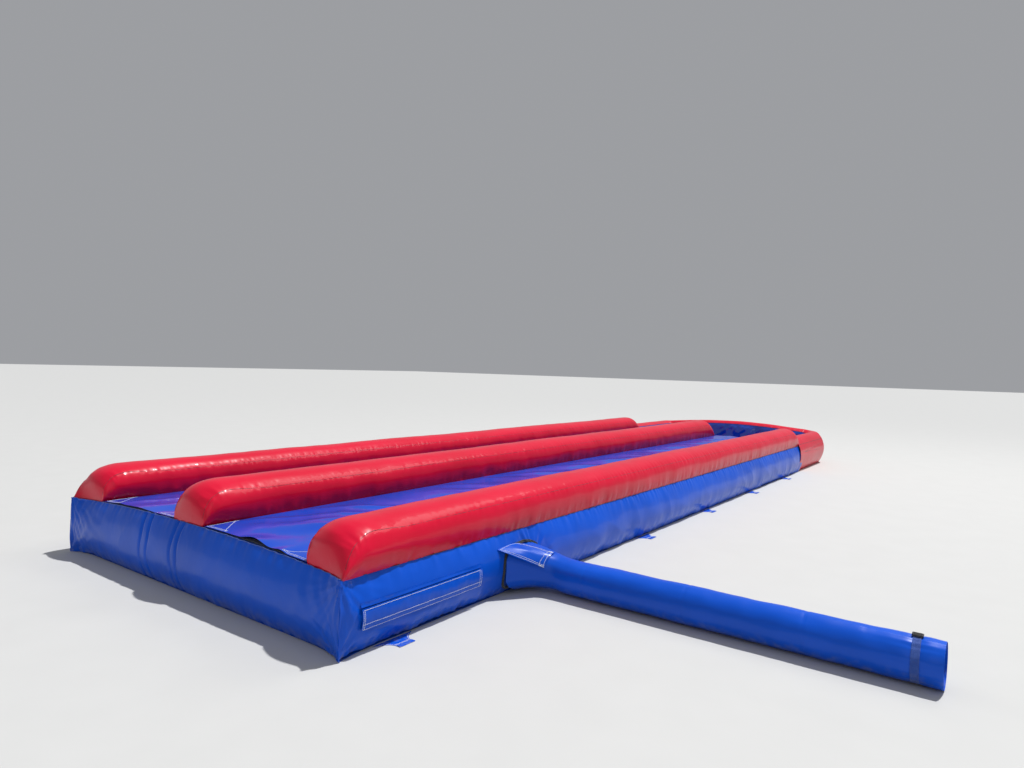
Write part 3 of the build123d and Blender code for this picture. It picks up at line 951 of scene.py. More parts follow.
# ---------------------------------------------------------------- rails
@dataclass
class Rail:
    """Red side rail: a top strip rolled over the nose, between two ballooned side panels."""

    layout: Layout
    word: str
    seed: int

    FOOT = 0.176          # half width at the deck
    SEAM = 0.170          # half width of the strip at the nose
    WIDE = 0.195          # half width of the full tube
    WIDE_Z = 0.105        # height of its widest place
    NOSE = 0.265          # radius of both ends
    NOSE_CROWN = 0.046    # rise of the strip across the nose
    FULL = 0.74           # power of the nose's curve: less is fuller
    SIDE_SHARE = 0.33     # share of v that each side panel takes
    STRIP_TURN = math.radians(57)
    SIDE_TOP = math.radians(33)
    SIDE_UNDER = math.radians(25)
    ROUND_START = 0.06
    ROUND_RUN = 0.50
    FOOT_GATHERS = (Gather(0.0065, 0.036, 0.060), Gather(0.0075, 0.110, 0.120, 23.0))
    SEAM_GATHER = Gather(0.0026, 0.028, 0.045, 71.0)

    def __post_init__(self) -> None:
        """Read this rail's place from the frame."""
        low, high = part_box(f"rail_{self.word}_strip")
        self.centre_x = (low.x + high.x) / 2
        self.front_y, self.end_y = low.y, high.y
        self.foot_z = float(self.layout.deck_z(np.array(self.centre_x)))
        self.height = high.z - self.foot_z
        self.outer = {"left": -1, "middle": 0, "right": 1}[self.word]
        self.noise = SmoothNoise(self.seed)
        self.arc = self.NOSE * math.pi / 2
        self.run = (self.end_y - self.front_y - 2 * self.NOSE) + 2 * self.arc

    def _path(self, u: Array) -> Tuple[Array, Array, Array, Array]:
        """Place along the rail, share of full height, and the nose and tail angles."""
        s = u * self.run
        nose = np.clip(s / self.arc, 0, 1) * math.pi / 2
        tail = np.clip((s - self.run + self.arc) / self.arc, 0, 1) * math.pi / 2
        straight = np.clip(s - self.arc, 0, self.run - 2 * self.arc)
        y = self.front_y + self.NOSE * (1 - np.cos(nose)**self.FULL) + straight + self.NOSE * np.sin(tail)
        return y, np.sin(nose)**self.FULL * np.cos(tail), nose, tail

    def _section(self, v: Array) -> Tuple[Array, Array, Array]:
        """Split v into the side it is on, the place down a side panel, and across the strip."""
        share = self.SIDE_SHARE
        side = np.where(v < share, 1.0, np.where(v > 1 - share, -1.0, 0.0))
        down = np.where(v < share, 1 - v / share, (v - 1 + share) / share)
        across = 1 - 2 * (v - share) / (1 - 2 * share)
        return side, np.clip(down, 0, 1), np.clip(across, -1, 1)

    def _boxy(self, side: Array, down: Array, across: Array, grow: Array) -> Tuple[Array, Array]:
        """Section at the nose: a nearly flat strip and ballooned gussets."""
        half = self.SEAM + (self.FOOT - self.SEAM) * (1 - grow)
        seam_z = (self.height - self.NOSE_CROWN) * grow
        gusset_x = half + (self.FOOT - half) * down + 0.050 * grow * np.sin(math.pi * down**0.9)
        x = np.where(side == 0, half * across, side * gusset_x)
        z = np.where(side == 0, seam_z + self.NOSE_CROWN * grow * (1 - across**2), seam_z * (1 - down))
        return x, z

    def _round(self, side: Array, down: Array, across: Array, grow: Array) -> Tuple[Array, Array]:
        """Section along the run: a full tube that overhangs its foot."""
        over = math.pi / 2 - across * self.STRIP_TURN
        turn = np.where(side == 0, over, self.SIDE_TOP - down * (self.SIDE_TOP + self.SIDE_UNDER))
        x = self.WIDE * np.sign(np.cos(turn)) * np.abs(np.cos(turn))**0.92
        rise = (self.height - self.WIDE_Z) * np.abs(np.sin(turn))**0.94
        fall = self.WIDE_Z * np.sin(turn) / math.sin(self.SIDE_UNDER)
        z = self.WIDE_Z + np.where(np.sin(turn) > 0, rise, fall)
        return np.where(side == 0, x, side * np.abs(x)), z * grow

    def smooth_form(self, u: Array, v: Array) -> Array:
        """The rail without its wrinkles."""
        y, grow, nose, tail = self._path(u)
        side, down, across = self._section(v)
        box_x, box_z = self._boxy(side, down, across, grow)
        tube_x, tube_z = self._round(side, down, across, grow)
        full = smooth((y - self.front_y - self.ROUND_START) / self.ROUND_RUN)
        x, z = box_x + (tube_x - box_x) * full, box_z + (tube_z - box_z) * full
        x = x * (1 - 0.10 * (1 - np.cos(tail)))
        x = x + 0.018 * self.outer * np.exp(-(y - self.front_y) / 0.22)
        low = 1 - np.clip(z / self.height, 0, 1)
        ear = self.layout.side_ear(y) * low**2
        if self.outer:
            flare = np.clip(x * self.outer / self.FOOT, 0, 1)**2
            x = x + self.outer * ear * flare * (self.layout.tip_x - self.layout.seam_x - 0.008)
        world_x = self.centre_x + x
        front = (self.layout.edge_y(world_x) - self.layout.front_seam_y) * low**2 * np.cos(nose)
        bow = 0.034 * np.cos(nose) * np.sin(nose) * 2 * np.where(side == 0, 1 - across**2, 0)
        world_z = z + self.foot_z + (self.layout.deck_z(world_x) - self.foot_z) * low
        rise = self.layout.TIP_RISE * self.layout.front_ear(world_x) * low * self.layout.side_ear(y)
        return stacked(world_x, y + front - bow, world_z + rise)

    def relief(self, u: Array, v: Array) -> Array:
        """Wrinkles: pleats over the feet, soft waves on the strip and puckers along its seams."""
        noise = self.noise
        y, grow, _, _ = self._path(u)
        side, down, across = self._section(v)
        foot = np.where(side == 0, 0.4, (1 - down) * 0.27)
        seam = np.where(side == 0, (1 - np.abs(across)) * 0.2, down * 0.27)
        end = np.minimum(y - self.front_y, self.end_y - y) + 0.25 * (1 - grow)
        run = u * self.run
        relief = gathered(noise, run, foot, *self.FOOT_GATHERS) + gathered(noise, run, seam, self.SEAM_GATHER)
        relief += 0.0045 * noise.at(run / 0.85, v * 3.0 + 5.0)
        relief += 0.0022 * noise.at(run / 0.21 + 3.0, v * 5.0)
        relief += 0.0048 * noise.at(run / 0.075 + 11.0, v * 7.0) * fading(end, 0.16)
        crease = ridge(run - 0.25, 0.030) * (side == 0) * (self.outer == 1)
        relief -= 0.004 * crease * np.clip(across + 0.6, 0, 1)
        crumple = ridge(run - 0.22, 0.10) * smooth(1 - np.abs(v - self.SIDE_SHARE) / 0.16)
        relief += 0.0065 * noise.at(run / 0.045 + 2.0, v * 9.0) * crumple
        at_foot = np.where(side == 0, np.clip(grow * 6, 0, 1), np.clip((1 - down) * 9, 0, 1))
        return relief * at_foot

    def form(self, u: Array, v: Array) -> Array:
        """The wrinkled rail."""
        return raised(self.smooth_form, self.relief)(u, v)

    def build(self) -> List[Piece]:
        """Model the rail as one closed body, with its two seams."""
        body = panel(f"{self.word}_rail_cover", 980, 44, self.form, (self.run, 0.95), Finish.RED)
        close_up(body)
        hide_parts(*[f"rail_{self.word}_{p}" for p in ("strip", "side_left", "side_right")])
        return [body, self._seam_cords()]

    def _seam_cords(self) -> Piece:
        """Thin seam along each edge of the top strip, sunk a little into it."""
        cords = []
        u = np.linspace(0.004, 0.985, 760)
        for share in (self.SIDE_SHARE, 1 - self.SIDE_SHARE):
            v = np.full_like(u, share)
            points = self.form(u, v) - 0.0006 * normals_of(self.form, u, v)
            cords.append(rope("seam", points, 0.0012, Finish.HEM))
        return joined(f"{self.word}_rail_seams", cords)


# ---------------------------------------------------------------- lanes
@dataclass
class LaneLiner:
    """Loose glossy sheet of one lane, sewn at its front corners and turned down into the pool."""

    layout: Layout
    side: Side
    seed: int

    DROP = 0.36
    CORNER = 0.05
    LIFT = 0.007
    STAND_OFF = 0.02
    STITCH_REACH = 0.24

    def __post_init__(self) -> None:
        """Read the lane's width from the frame."""
        low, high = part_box(f"slide_liner_{self.side.word}")
        self.low_x, self.high_x = low.x, high.x
        self.front_y = low.y + 0.004
        self.end_y = self.layout.base_end_y - 0.012
        self.noise = SmoothNoise(self.seed)
        self.run = self.end_y - self.front_y + self.DROP

    def billow(self, x: Array, y: Array) -> Array:
        """Height of the sheet over the deck."""
        noise = self.noise
        middle = np.sin(np.pi * (x - self.low_x) / (self.high_x - self.low_x))**0.6
        swell = noise.at((x + 0.5 * y) / 0.42, (y - 0.3 * x) / 0.75)
        fold = noise.ridged((x - 0.55 * y) / 0.33 + 8, y / 1.3 + 3)
        fine = noise.at((x + 0.8 * y) / 0.13 + 4, y / 0.2)
        height = 0.015 + 0.015 * swell + 0.009 * fold + 0.003 * fine
        lifted = 0.0
        if self.side is Side.RIGHT:
            wave = 0.55 + 0.45 * np.cos((x - 0.75) * 19)
            lifted = 0.026 * smooth((x - 0.52) / 0.12) * smooth((1.10 - x) / 0.12) * wave
            lifted *= np.exp(-(y - self.front_y) / 0.09)
        near_front = 1 - 0.6 * np.exp(-(y - self.front_y) / 0.10)
        return self.LIFT + np.maximum(height, 0.001) * middle * near_front + lifted

    def form(self, u: Array, v: Array) -> Array:
        """The sheet for u across it and v along it, then down the rear wall."""
        x = self.low_x + (self.high_x - self.low_x) * u
        s = v * self.run
        level = self.end_y - self.front_y
        over = np.clip(s - level, 0, None)
        turn = np.clip(over / self.CORNER, 0, math.pi / 2)
        down = np.clip(over - self.CORNER * math.pi / 2, 0, None)
        y = self.front_y + np.minimum(s, level) + self.CORNER * np.sin(turn)
        hanging = self.STAND_OFF + 0.012 * self.noise.at(x / 0.11, down / 0.3) * smooth(down / 0.1)
        y = y + np.where(down > 0, hanging, self.STAND_OFF * np.sin(turn))
        drop = self.CORNER * (1 - np.cos(turn)) + down
        settle = 1 - smooth(over / 0.05)
        z = self.layout.deck_z(x) + self.LIFT + (self.billow(x, y) - self.LIFT) * settle - drop
        return stacked(x, y, z)

    def build(self) -> List[Piece]:
        """Model the sheet and its corner stitching."""
        width = self.high_x - self.low_x
        piece = panel(f"{self.side.word}_lane_liner", 64, 460, self.form, (width, self.run), Finish.LINER)
        thicken(piece, 0.0014)
        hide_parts(f"slide_liner_{self.side.word}")
        return [piece, self._corners(width)]

    def _corners(self, width: float) -> Piece:
        """Double rows of white thread round both front corners."""
        rows = Stitching(f"{self.side.word}_liner_stitches")
        u_out, v_out = self.STITCH_REACH / width, self.STITCH_REACH / self.run
        for flip in (False, True):
            for inset in (0.012, 0.024):
                u_in, v_in = inset / width, inset / self.run
                lines = (
                    (np.linspace(u_in, u_out, 40), v_in),
                    (u_in, np.linspace(v_in, v_out, 40)),
                    (np.linspace(u_out - u_in, u_in, 40), np.linspace(v_in, v_out - v_in, 40)),
                )
                for u, v in lines:
                    rows.on(self.form, 1 - u if flip else u, v)
        return rows.made()


# ---------------------------------------------------------------- splash pool
@dataclass
class SplashPool:
    """Red tube wall round three sides of the pool, with its wrinkled blue liner."""

    layout: Layout

    OUTER = [(0.088, 0.0), (0.0, 0.23), (0.042, 0.455)]
    TOP = [(0.042, 0.456), (0.150, 0.565), (0.300, 0.522)]
    INNER = [(0.302, 0.520), (0.352, 0.27), (0.312, 0.012)]
    CORNER = 0.42
    FAR_RISE = 0.15
    OVERLAP = 0.09
    INNER_IN = 0.315
    GROUND_IN = 0.094
    OUTER_FOOT = Gather(0.0045, 0.055, 0.09)
    OUTER_SEAM = Gather(0.0030, 0.035, 0.03, 9.0)
    TOP_OUTER = Gather(0.0030, 0.035, 0.03, 3.0)
    TOP_INNER = Gather(0.0050, 0.060, 0.07, 5.0)
    SEAM_START = 0.70
    SEAM_LINES = (0.83, 0.64)
    SEAM_PLACES = np.linspace(0.006, 0.994, 700)

    def __post_init__(self) -> None:
        """Read the wall's place from the frame."""
        low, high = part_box("pool_wall_outer")
        self.half = high.x
        self.start_y = low.y - self.OVERLAP
        self.centre_x, self.centre_y = high.x - self.CORNER, high.y - self.CORNER
        self.noise = SmoothNoise(21)
        self.side_run = self.centre_y - self.start_y
        self.turn_run = self.CORNER * math.pi / 2
        self.far_run = 2 * self.centre_x
        self.run = 2 * self.side_run + 2 * self.turn_run + self.far_run

    def plan(self, s: Array, inwards: Array) -> Tuple[Array, Array]:
        """Place in plan, a distance along the wall's outer line and inwards from it."""
        flipped = s > self.run / 2
        t = np.where(flipped, self.run - s, s)
        angle = np.clip((t - self.side_run) / self.CORNER, 0, math.pi / 2)
        radius = self.CORNER - inwards
        along_side = np.minimum(t, self.side_run)
        along_far = np.clip(t - self.side_run - self.turn_run, 0, None)
        x = self.centre_x + radius * np.cos(angle) - along_far
        y = self.start_y + along_side + radius * np.sin(angle)
        return np.where(flipped, -x, x), y

    def rise(self, s: Array) -> Array:
        """Growth of the wall's height towards the middle of the far side."""
        from_start = s - self.side_run - self.turn_run * 0.6
        place = np.clip(from_start / (self.far_run + 0.8 * self.turn_run), 0, 1)
        return 1 + self.FAR_RISE * np.sin(math.pi * place)**1.3

    def swept(self, points: Sequence[Tuple[float, float]], relief: Relief) -> Form:
        """Form of a section carried round the pool, with a relief in metres."""

        def base(u: Array, v: Array) -> Array:
            """The smooth form."""
            s = u * self.run
            inwards, z = arc_at(points, v)
            x, y = self.plan(s, inwards)
            return stacked(x, y, z * self.rise(s))

        return raised(base, relief)

    def seam_share(self, u: Array, line: float) -> Array:
        """Height share of a seam that parts from the others and runs level round the far side."""
        s = np.minimum(u, 1 - u) * self.run
        return self.SEAM_START + (line - self.SEAM_START) * smooth(s / self.side_run)

    def outer_relief(self, u: Array, v: Array) -> Array:
        """Puckers along the ground and soft waves."""
        s, noise = u * self.run, self.noise
        relief = gathered(noise, s, v * 0.45, self.OUTER_FOOT)
        relief += gathered(noise, s, np.abs(v - 0.77) * 0.45, self.OUTER_SEAM)
        relief += 0.0050 * noise.at(s / 0.7, v * 2)
        for line in self.SEAM_LINES:
            relief -= 0.0030 * ridge(v - self.seam_share(u, line), 0.016)
        return relief * np.clip(v * 12, 0, 1)

    def top_relief(self, u: Array, v: Array) -> Array:
        """Puckers at both seams of the top."""
        s, noise = u * self.run, self.noise
        relief = gathered(noise, s, v * 0.3, self.TOP_OUTER)
        relief += gathered(noise, s, (1 - v) * 0.3, self.TOP_INNER)
        relief += 0.0040 * noise.at(s / 0.5, v * 2 + 4)
        return relief * np.clip(np.minimum(v, 1 - v) * 12, 0, 1)

    def liner_relief(self, u: Array, v: Array) -> Array:
        """Deep loose folds of the pool liner."""
        s, noise = u * self.run, self.noise
        down = v * 0.52
        relief = 0.018 * noise.ridged((s + 0.7 * down) / 0.33, down / 0.55 + 2)
        relief += 0.010 * noise.ridged((s - 1.1 * down) / 0.21 + 7, down / 0.34)
        relief += 0.006 * noise.at(s / 0.09, down / 0.12 + 5)
        return relief * smooth(np.minimum(v, 1 - v) * 7)

    def floor_form(self, u: Array, v: Array) -> Array:
        """Liner over the pool's floor."""
        x = (2 * u - 1) * (self.half - self.INNER_IN)
        start = self.layout.base_end_y + 0.01
        y = start + (self.centre_y + self.CORNER - self.INNER_IN - start) * v
        edge = smooth(8 * np.minimum(np.minimum(u, 1 - u), np.minimum(v, 1 - v)))
        folds = 0.010 * self.noise.ridged((x + 0.4 * y) / 0.45, y / 0.6)
        folds += 0.008 * self.noise.at(x / 0.2, y / 0.17)
        return stacked(x, y, 0.012 + edge * np.maximum(folds + 0.008, -0.006))

    def ground_form(self, u: Array, v: Array) -> Array:
        """Ground sheet under the pool, facing down."""
        radius = self.CORNER - self.GROUND_IN
        start = self.layout.base_end_y + 0.004
        y = start + (self.centre_y + radius - start) * v
        over = np.clip(y - self.centre_y, 0, radius)
        narrow = radius - np.sqrt(np.clip(radius**2 - over**2, 0, None))
        x = (1 - 2 * u) * (self.half - self.GROUND_IN - narrow)
        return stacked(x, y, 0.002)

    def seam_line(self, form: Form, v: Any) -> Piece:
        """Thin seam cord along the wall, at one height share or one for each place along it."""
        return rope("seam", form(self.SEAM_PLACES, v + 0 * self.SEAM_PLACES), 0.0020, Finish.HEM)

    def build(self) -> List[Piece]:
        """Model the pool."""
        outside = self.swept(self.OUTER, self.outer_relief)
        over = self.swept(self.TOP, self.top_relief)
        inside = self.swept(self.INNER, self.liner_relief)
        outer = panel("pool_outer_cover", 520, 32, outside, (self.run, 0.5), Finish.RED)
        top = panel("pool_top_cover", 520, 20, over, (self.run, 0.3), Finish.RED)
        inner = panel("pool_side_liner", 620, 40, inside, (self.run, 0.52), Finish.POOL_LINER)
        floor = panel("pool_floor_liner", 150, 80, self.floor_form, (2.74, 1.64), Finish.POOL_LINER)
        ground = panel("pool_ground_sheet_cover", 40, 60, self.ground_form, (3.18, 1.87), Finish.BLUE)
        for piece in (outer, top, inner, floor):
            thicken(piece)
        thicken(ground, 0.001)
        for piece, node in (
            (outer, "pool_wall_outer"), (top, "pool_wall_top"), (inner, "pool_wall_inner"),
            (floor, "pool_liner_floor"), (ground, "pool_ground_sheet"),
        ):
            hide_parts(node)
        shares = [self.seam_share(self.SEAM_PLACES, line) for line in self.SEAM_LINES]
        seams = [self.seam_line(outside, share) for share in (*shares, 0.995)]
        seams.append(self.seam_line(over, 0.995))
        return [outer, top, inner, floor, ground, joined("pool_seams", seams)]


# ---------------------------------------------------------------- inflation tube
@dataclass
class InflationTube:
    """Soft sleeve for the fan, with a flared mouth, a bound seam ringed in black that also serves as painted
    shade of its crease, and a sewn rain flap.
    """

    layout: Layout
    wall: SideWall

    MOUTH_WIDE = 0.262
    MOUTH_HIGH = 0.148
    MOUTH_Z = 0.180
    MOUTH_SHIFT = -0.084
    MOUTH_CORNER = 0.55
    SLEEVE_IN = 0.02
    COLLAR_RUN = 0.24
    RINGS = (0.24, 0.95, 1.66)
    STRAP_IN = 0.15
    STRAP_WIDE = 0.04
    GROUND_GAP = 0.003
    FLAP_NEAR = math.radians(-70)
    FLAP_FAR = math.radians(-2)
    FLAP_START = -0.418
    FLAP_WIDE = 0.250
    FLAP_TOP = 0.352
    FLAP_OVER = 0.045

    def __post_init__(self) -> None:
        """Read the tube's line from the frame."""
        low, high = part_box("inflation_tube")
        self.y = (low.y + high.y) / 2
        self.z = (low.z + high.z) / 2
        self.radius = (high.z - low.z) / 2
        self.start_x, self.end_x = low.x, high.x
        self.mouth_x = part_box("inlet_collar")[0].x + 0.035
        self.noise = SmoothNoise(31)

    def centre_z(self, x: Array) -> Array:
        """Height of the tube's centre line."""
        share = smooth((x - self.mouth_x) / (self.start_x - self.mouth_x + 0.12))
        return self.MOUTH_Z + (self.z - self.MOUTH_Z) * share

    def flare(self, x: Array) -> Array:
        """1 at the mouth, falling to 0 where the round sleeve starts."""
        share = np.clip((x - self.mouth_x - self.SLEEVE_IN) / (self.start_x - self.mouth_x), 0, 1)
        return (1 - share)**1.7

    def radii(self, x: Array) -> Tuple[Array, Array]:
        """Half width and half height of the sleeve."""
        flare = self.flare(x)
        wide = self.radius + (self.MOUTH_WIDE - self.radius) * flare
        high = self.radius + (self.MOUTH_HIGH - self.radius) * flare
        return wide, high

    def base(self, x: Array, turn: Array) -> Array:
        """The sleeve without wrinkles; turn is 0 at the top and grows towards +Y."""
        wide, high = self.radii(x)
        across, up = self.outline(turn, self.flare(x))
        centre_y = self.y + self.MOUTH_SHIFT * self.flare(x)
        return stacked(x, centre_y + wide * across, self.centre_z(x) + high * up)

    def _corner(self, flare: Array) -> Array:
        """Power of the near side's outline: 1 is round and less is boxy."""
        return 1 - (1 - self.MOUTH_CORNER) * flare

    def outline(self, turn: Array, flare: Array) -> Tuple[Array, Array]:
        """Section across and up, 1 at its widest: round, but boxy on the near side of the flare."""
        near = np.sin(turn) < 0
        corner = np.where(near, self._corner(flare), 1.0)
        across = np.sign(np.sin(turn)) * np.abs(np.sin(turn))**corner * np.where(near, 1.0, 1 - 0.22 * flare)
        return across, np.sign(np.cos(turn)) * np.abs(np.cos(turn))**corner

    def relief(self, x: Array, turn: Array) -> Array:
        """Seam rings, soft buckles and folds that gather at the mouth."""
        noise = self.noise
        near = np.exp(-(x - self.mouth_x) / 0.16)
        relief = 0.012 * noise.at(np.sin(turn) * 2.2 + 5, np.cos(turn) * 2.2 + 9 + x) * near
        relief = relief + 0.0035 * noise.at(x / 0.34, np.sin(turn) * 1.4 + 3)
        relief = relief + 0.0022 * noise.at(x / 0.11 + 6, np.cos(turn) * 1.8 + 8)
        for ring in self.RINGS:
            ring_x = self.start_x + ring
            relief = relief - 0.0030 * ridge(x - ring_x, 0.007)
            relief = relief + 0.0016 * noise.at(turn * self.radius / 0.035, ring_x) * fading(x - ring_x, 0.05)
        from_strap = x - (self.end_x - self.STRAP_IN + self.STRAP_WIDE / 2)
        relief = relief - 0.006 * ridge(from_strap, 0.03)
        return relief + 0.005 * noise.at(np.sin(turn) * 5, np.cos(turn) * 5) * fading(from_strap, 0.09)

    def surface(self, x: Array, turn: Array, proud: float = 0.0) -> Array:
        """Outer face of the sleeve, or a surface that lies over it."""
        points = self.base(x, turn)
        push = self.relief(x, turn) + proud
        points[..., 1] += np.sin(turn) * push
        points[..., 2] += np.cos(turn) * push
        sunk = np.clip(points[..., 2] - self.GROUND_GAP, None, 0)
        points[..., 2] = np.maximum(points[..., 2], self.GROUND_GAP + 0.25 * sunk)
        points[..., 2] = np.maximum(points[..., 2], 0.0025)
        return points

    def _wrapped(self, x: Array, v: Array, proud: float = 0.0) -> Array:
        """Once round the sleeve as v goes from 0 to 1, starting underneath."""
        return self.surface(x, math.pi + v * TURN, proud)

    def tube_form(self, u: Array, v: Array) -> Array:
        """Whole sleeve from the wall to the open end."""
        start = self.mouth_x + self.SLEEVE_IN
        return self._wrapped(start + (self.end_x - start) * u, v)

    def _to_wall(self, points: Array, share: Array) -> Array:
        """Pull points back onto the wall where share is 1."""
        height = np.clip(points[..., 2], 0, self.layout.base_height)
        wall_x = self.wall.surface(points[..., 1], height)[..., 0]
        points[..., 0] += (wall_x - 0.004 - points[..., 0]) * share
        return points

    def collar_form(self, u: Array, v: Array) -> Array:
        """Start of the sleeve, carried back onto the bulging wall."""
        points = self._wrapped(self.mouth_x + self.SLEEVE_IN + self.COLLAR_RUN * u, v)
        return self._to_wall(points, 1 - smooth(u * 2.4))

    def mouth_ring(self, proud: float, out: float) -> Array:
        """Closed line round the mouth, on the wall."""
        turn = np.linspace(0, TURN, 160, endpoint=False)
        across, up = self.outline(turn, np.ones_like(turn))
        y = self.y + self.MOUTH_SHIFT + (self.MOUTH_WIDE + proud) * across
        z = np.maximum(self.MOUTH_Z + (self.MOUTH_HIGH + proud) * up, 0.012)
        z = z + 0.002 * self.noise.at(turn * 5, 2.0)
        points = self.wall.surface(y, z)
        points[:, 0] += out
        return points

    def flap_form(self, u: Array, v: Array) -> Array:
        """Rain flap from the wall (u 0) to the sleeve (u 1), v from the near edge to the far one."""
        wall_y = self.y + self.FLAP_START + self.FLAP_WIDE * v
        wall_points = self.wall.surface(wall_y, self.FLAP_TOP - 0.008 * np.abs(2 * v - 1))
        wall_points[..., 0] += 0.004
        turn = self.FLAP_NEAR + (self.FLAP_FAR - self.FLAP_NEAR) * v
        end_points = self.surface(np.full_like(u, self.start_x - self.FLAP_OVER), turn, 0.004)
        t = u[..., None]
        points = wall_points * (1 - t) + end_points * t
        centre_z, flare = self.centre_z(points[..., 0]), self.flare(points[..., 0])
        centre_y = self.y + self.MOUTH_SHIFT * flare
        wide, high = self.radii(points[..., 0])
        power = np.where(points[..., 1] < centre_y, 2 / self._corner(flare), 2.0)
        away_y = np.abs(points[..., 1] - centre_y) / (wide + 0.012)
        away_z = np.abs(points[..., 2] - centre_z) / (high + 0.010)
        reach = np.maximum((away_y**power + away_z**power)**(1 / power), 1e-6)
        push = np.maximum(1.0 / reach, 1.0)
        points[..., 1] = centre_y + (points[..., 1] - centre_y) * push
        points[..., 2] = centre_z + (points[..., 2] - centre_z) * push
        sag = 0.004 * self.noise.at(u * 3 + 2, v * 4) * np.sin(math.pi * u)
        points[..., 2] += sag + 0.010 * np.sin(math.pi * u) * np.sin(math.pi * v)
        return points

    def build(self) -> List[Piece]:
        """Model the sleeve, its mouth, its flap and its tie strap."""
        length = self.end_x - self.mouth_x
        sleeve = self._rolled("inflation_sleeve", 250, self.tube_form, (length, 0.8), Finish.BLUE)
        collar = self._rolled("mouth_collar", 26, self.collar_form, (self.COLLAR_RUN, 1.1), Finish.BLUE)
        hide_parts("inflation_tube")
        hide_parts("inlet_collar")
        # Two black rings round the mouth: tape over the seam, and also painted shade of the crease where the
        # wall bulges round it.
        rings = ((0.006, 0.004, 0.0055), (0.016, 0.003, 0.0045))
        binding = joined("mouth_binding", [
            rope("binding", self.mouth_ring(proud, out), radius, Finish.BLACK_WEB, True)
            for proud, out, radius in rings
        ])
        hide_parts("inlet_binding")
        flap = panel("rain_flap", 36, 40, self.flap_form, (0.30, 0.33), Finish.BLUE)
        thicken(flap)
        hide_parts("inlet_flap")
        return [sleeve, collar, binding, flap, self._flap_stitches(), self._strap()]

    @staticmethod
    def _rolled(
        name: str,
        columns: int,
        form: Form,
        size: Tuple[float, float],
        finish: Finish,
        thickness: float = SKIN,
    ) -> Piece:
        """Panel that goes once round the sleeve, with its two long edges joined."""
        piece = panel(name, columns, 96, form, size, finish)
        merge_points(piece, 0.0003)
        bpy.ops.object.mode_set(mode="OBJECT")
        return thicken(piece, thickness)

    def _flap_stitches(self) -> Piece:
        """Double rows along both long edges, two arcs across the sleeve, and bar tacks."""
        rows = Stitching("rain_flap_stitches")
        run = np.linspace(0.05, 0.97, 60)
        for v in (0.045, 0.105, 0.895, 0.955):
            rows.on(self.flap_form, run, v)
        across = np.linspace(0.045, 0.955, 60)
        for u in (0.865, 0.955, 0.04):
            rows.on(self.flap_form, u, across)
        tack = np.linspace(0.86, 0.96, 8)
        for v in (0.045, 0.955):
            for shift in (-0.02, 0.0, 0.02):
                rows.on(self.flap_form, tack, v + shift)
        return rows.made()

    def strap_form(self, u: Array, v: Array) -> Array:
        """Tie strap round the open end."""
        return self._wrapped(self.end_x - self.STRAP_IN + self.STRAP_WIDE * u, v, 0.0035)

    def _strap(self) -> Piece:
        """Woven tie strap."""
        size = (self.STRAP_WIDE, 0.8)
        strap = self._rolled("tie_strap", 6, self.strap_form, size, Finish.BLUE_WEB, 0.0022)
        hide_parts("tube_strap")
        return strap


